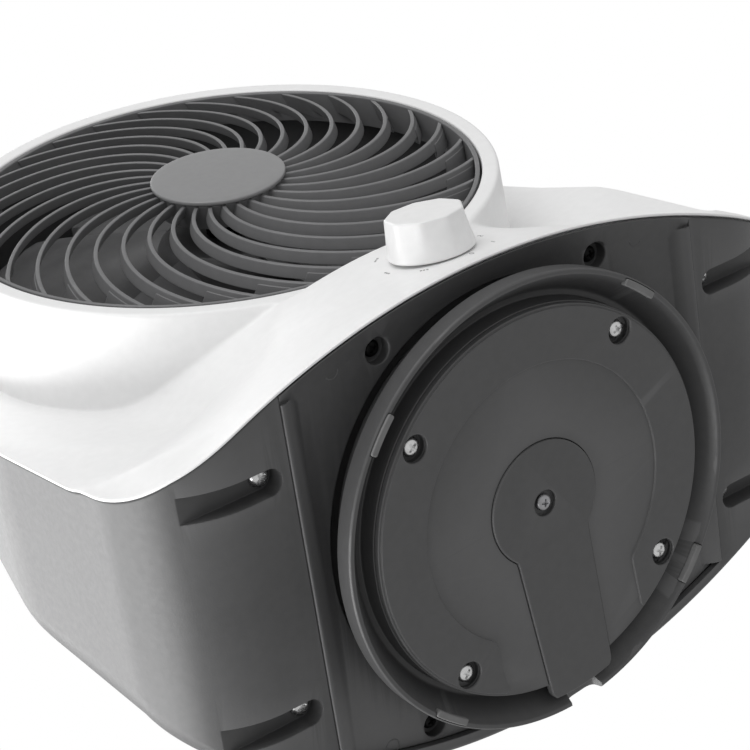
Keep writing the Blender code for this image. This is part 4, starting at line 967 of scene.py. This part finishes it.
def screw_head(head, height, shank, length):
    """A pan-head cross-recess screw: a domed head below z = 0 and a threaded shank above it."""
    profile = [(0, -height, 0), (head * 0.45, -height * 0.985, 0), (head * 0.8, -height * 0.8, 0.6),
               (head, -height * 0.3, 0.5), (head, 0, 0.2), (shank, 0, 0)]
    z = 0.5
    while z < length - 2:
        profile += [(shank, z, 0), (shank + 0.25, z + 0.3, 0), (shank, z + 0.6, 0)]
        z += 0.9
    profile += [(shank, length - 1.5, 0), (0, length, 0)]
    body = turned(profile, 48, 3, bored=False)
    arm, half = head * 0.56, head * 0.12
    levels = []
    for z, share in ((-height - 1, 1.12), (-height, 1.0), (-height * 0.35, 0.45)):
        a, h = arm * share, half * (0.6 + 0.4 * share)
        points = [(a, -h), (a, h), (h * 1.4, h * 1.4), (h, a), (-h, a), (-h * 1.4, h * 1.4), (-a, h), (-a, -h),
                  (-h * 1.4, -h * 1.4), (-h, -a), (h, -a), (h * 1.4, -h * 1.4)]
        levels.append([Vector((x, y, z)) for x, y in points])
    return shaped(body, ("DIFFERENCE", lattice(levels)))


def screws():
    pan = screw_head(3.8, 2.4, 1.45, 10.8)
    small = screw_head(3.3, 1.8, 1.45, 7.8)
    flip = Matrix.Rotation(math.pi, 4, "X")
    jobs = []
    for i, a in enumerate(BASE_ANGLES):
        spot = Vector((*polar(BASE_SCREW_RADIUS, a), 4.9))
        jobs.append(("base_screw_%d" % (i + 1), pan, ZINC, "zinc_steel", "base",
                     BASE @ Matrix.Translation(spot), 25))
    jobs.append(("channel_screw", small, MOTOR, "black_steel", "base",
                 BASE @ Matrix.Translation((0, 0, 2.5)), 40))
    for i, deg in enumerate((0, 180, 270)):
        spot = Vector((*polar(11, math.radians(deg)), 36.1))
        jobs.append(("washer_screw_%d" % (i + 1), small, ZINC, "zinc_steel", "base",
                     BASE @ Matrix.Translation(spot) @ flip, 10))
    for i, (side, y) in enumerate([(s, y) for s in (-1, 1) for y in POCKET_YS]):
        spot = Matrix.Translation((side * POCKET_INNER_X, y, POCKET_FLOOR_Z - 0.3))
        jobs.append(("flank_screw_%d" % (i + 1), pan, ZINC, "zinc_steel", "housing", spot, 15))
    # The screws in the deep holes are near-black: black oxide plus painted shade of the holes.
    for i, (x, y) in enumerate(DEEP_HOLES):
        jobs.append(("panel_screw_%d" % (i + 1), small, BLACK_OXIDE_HOLE_SHADE, "black_steel", "housing",
                     Matrix.Translation((x, y, 23.7)), 30))
    for i in range(3):
        spot = Vector((*polar(116.6, math.radians(30 + 120 * i)), DUCT_DEPTH - 3.6))
        jobs.append(("bracket_screw_%d" % (i + 1), small, ZINC, "zinc_steel", "housing",
                     FAN @ Matrix.Translation(spot), 20))
    for i, x in enumerate((-24, 24)):
        jobs.append(("motor_screw_%d" % (i + 1), small, ZINC, "zinc_steel", "housing",
                     FAN @ Matrix.Translation((x, 0, -63.2)) @ flip, 20))
    for i, (name, source, mat, slot, body, where, turn) in enumerate(jobs):
        spin = Matrix.Rotation(math.radians(turn + 17 * i), 4, "Z")
        place(name + "_fastener", source.copy(), mat, body, where @ spin, 40, (name,))
    pan.free()
    small.free()


# ---------------------------------------------------------------- carried-over nodes

def dress():
    """Materials for the CAD nodes whose shape is shown as it is."""
    finishes = {"rear_grille": DARK, "motor_bracket": DARK, "impeller_nut": BLACK_OXIDE_HOLE_SHADE, "motor_shaft": SHAFT,
                "switch_shaft": SHAFT, "rotary_switch": SWITCH, "retaining_washer": ZINC}
    for name, mat in finishes.items():
        mesh = frame["nodes"][name].data
        mesh.materials.clear()
        mesh.materials.append(mat)
        mesh.shade_smooth()
        mesh.set_sharp_from_angle(angle=math.radians(35))


# ---------------------------------------------------------------- stage

def stage():
    """Pale floor at table height, soft lights and the camera."""
    bm = bmesh.new()
    bmesh.ops.create_grid(bm, x_segments=1, y_segments=1, size=3.0)
    mesh = bpy.data.meshes.new("floor")
    bm.to_mesh(mesh)
    bm.free()
    floor = bpy.data.objects.new("floor", mesh)
    bpy.context.scene.collection.objects.link(floor)
    floor.location = (0, 0, -0.0002)
    n = Nodes("floor_paper")
    grain = n.noise(9.0, 3.0)
    tone = n.ramp(grain, "Fac", 0.86, 0.9)
    tinted = n.mix("MULTIPLY", (1, 1, 1), (tone, "Result"), 1.0)
    n.link(tinted, 2, n.shader, "Base Color")
    n.shader.inputs["Roughness"].default_value = 0.9
    clear = n.add("ShaderNodeBsdfTransparent")
    geometry = n.add("ShaderNodeNewGeometry")
    pick = n.add("ShaderNodeMixShader")
    n.link(geometry, "Backfacing", pick, "Fac")
    n.tree.links.new(n.shader.outputs["BSDF"], pick.inputs[1])
    n.tree.links.new(clear.outputs["BSDF"], pick.inputs[2])
    n.link(pick, "Shader", n.out, "Surface")
    mesh.materials.append(n.mat)
    floor.visible_shadow = False
    floor.visible_diffuse = False
    floor.visible_glossy = False

    def lamp(name, place_at, size, power, aim=(0, 0, 0.15)):
        light = bpy.data.lights.new(name, "AREA")
        light.shape = "RECTANGLE"
        light.size, light.size_y = size
        light.energy = power
        obj = bpy.data.objects.new(name, light)
        obj.location = place_at
        obj.rotation_euler = (Vector(place_at) - Vector(aim)).to_track_quat("Z", "Y").to_euler()
        bpy.context.scene.collection.objects.link(obj)
        obj.visible_camera = False

    lamp("key_left", (-1.1, 0.75, 1.5), (1.6, 1.6), 26)
    lamp("side_left", (-1.9, 0.85, 0.2), (1.6, 1.6), 52)
    lamp("front_fill", (-0.5, -1.9, 0.35), (1.6, 1.2), 17)
    lamp("top_soft", (0.3, 0.3, 2.2), (1.6, 1.6), 14)

    world = bpy.data.worlds.new("studio")
    bpy.context.scene.world = world
    world.use_nodes = True
    tree = world.node_tree
    tree.nodes.clear()
    out = tree.nodes.new("ShaderNodeOutputWorld")
    ray = tree.nodes.new("ShaderNodeLightPath")
    seen = tree.nodes.new("ShaderNodeBackground")
    seen.inputs["Strength"].default_value = 1.0
    seen.inputs["Color"].default_value = (1, 1, 1, 1)
    lit = tree.nodes.new("ShaderNodeBackground")
    lit.inputs["Strength"].default_value = 0.55
    lit.inputs["Color"].default_value = (1, 1, 1, 1)
    both = tree.nodes.new("ShaderNodeMixShader")
    tree.links.new(ray.outputs["Is Camera Ray"], both.inputs[0])
    tree.links.new(lit.outputs[0], both.inputs[1])
    tree.links.new(seen.outputs[0], both.inputs[2])
    tree.links.new(both.outputs[0], out.inputs[0])

    camera = bpy.data.cameras.new("camera")
    camera.lens = 122.27
    camera.sensor_width = 36
    camera.clip_start = 0.05
    camera.clip_end = 50
    rig = bpy.data.objects.new("camera", camera)
    rig.location = (-0.50548, -0.43867, -0.67611)
    rig.rotation_euler = (2.817266, 0.632760, 0.176074)
    bpy.context.scene.collection.objects.link(rig)
    bpy.context.scene.camera = rig
    bpy.context.scene.view_settings.view_transform = "Standard"


stage()
front_shell()
rear_shell()
bottom_panel()
swirl_grille()
impeller()
motor()
knob()
dial()
base()
screws()
dress()
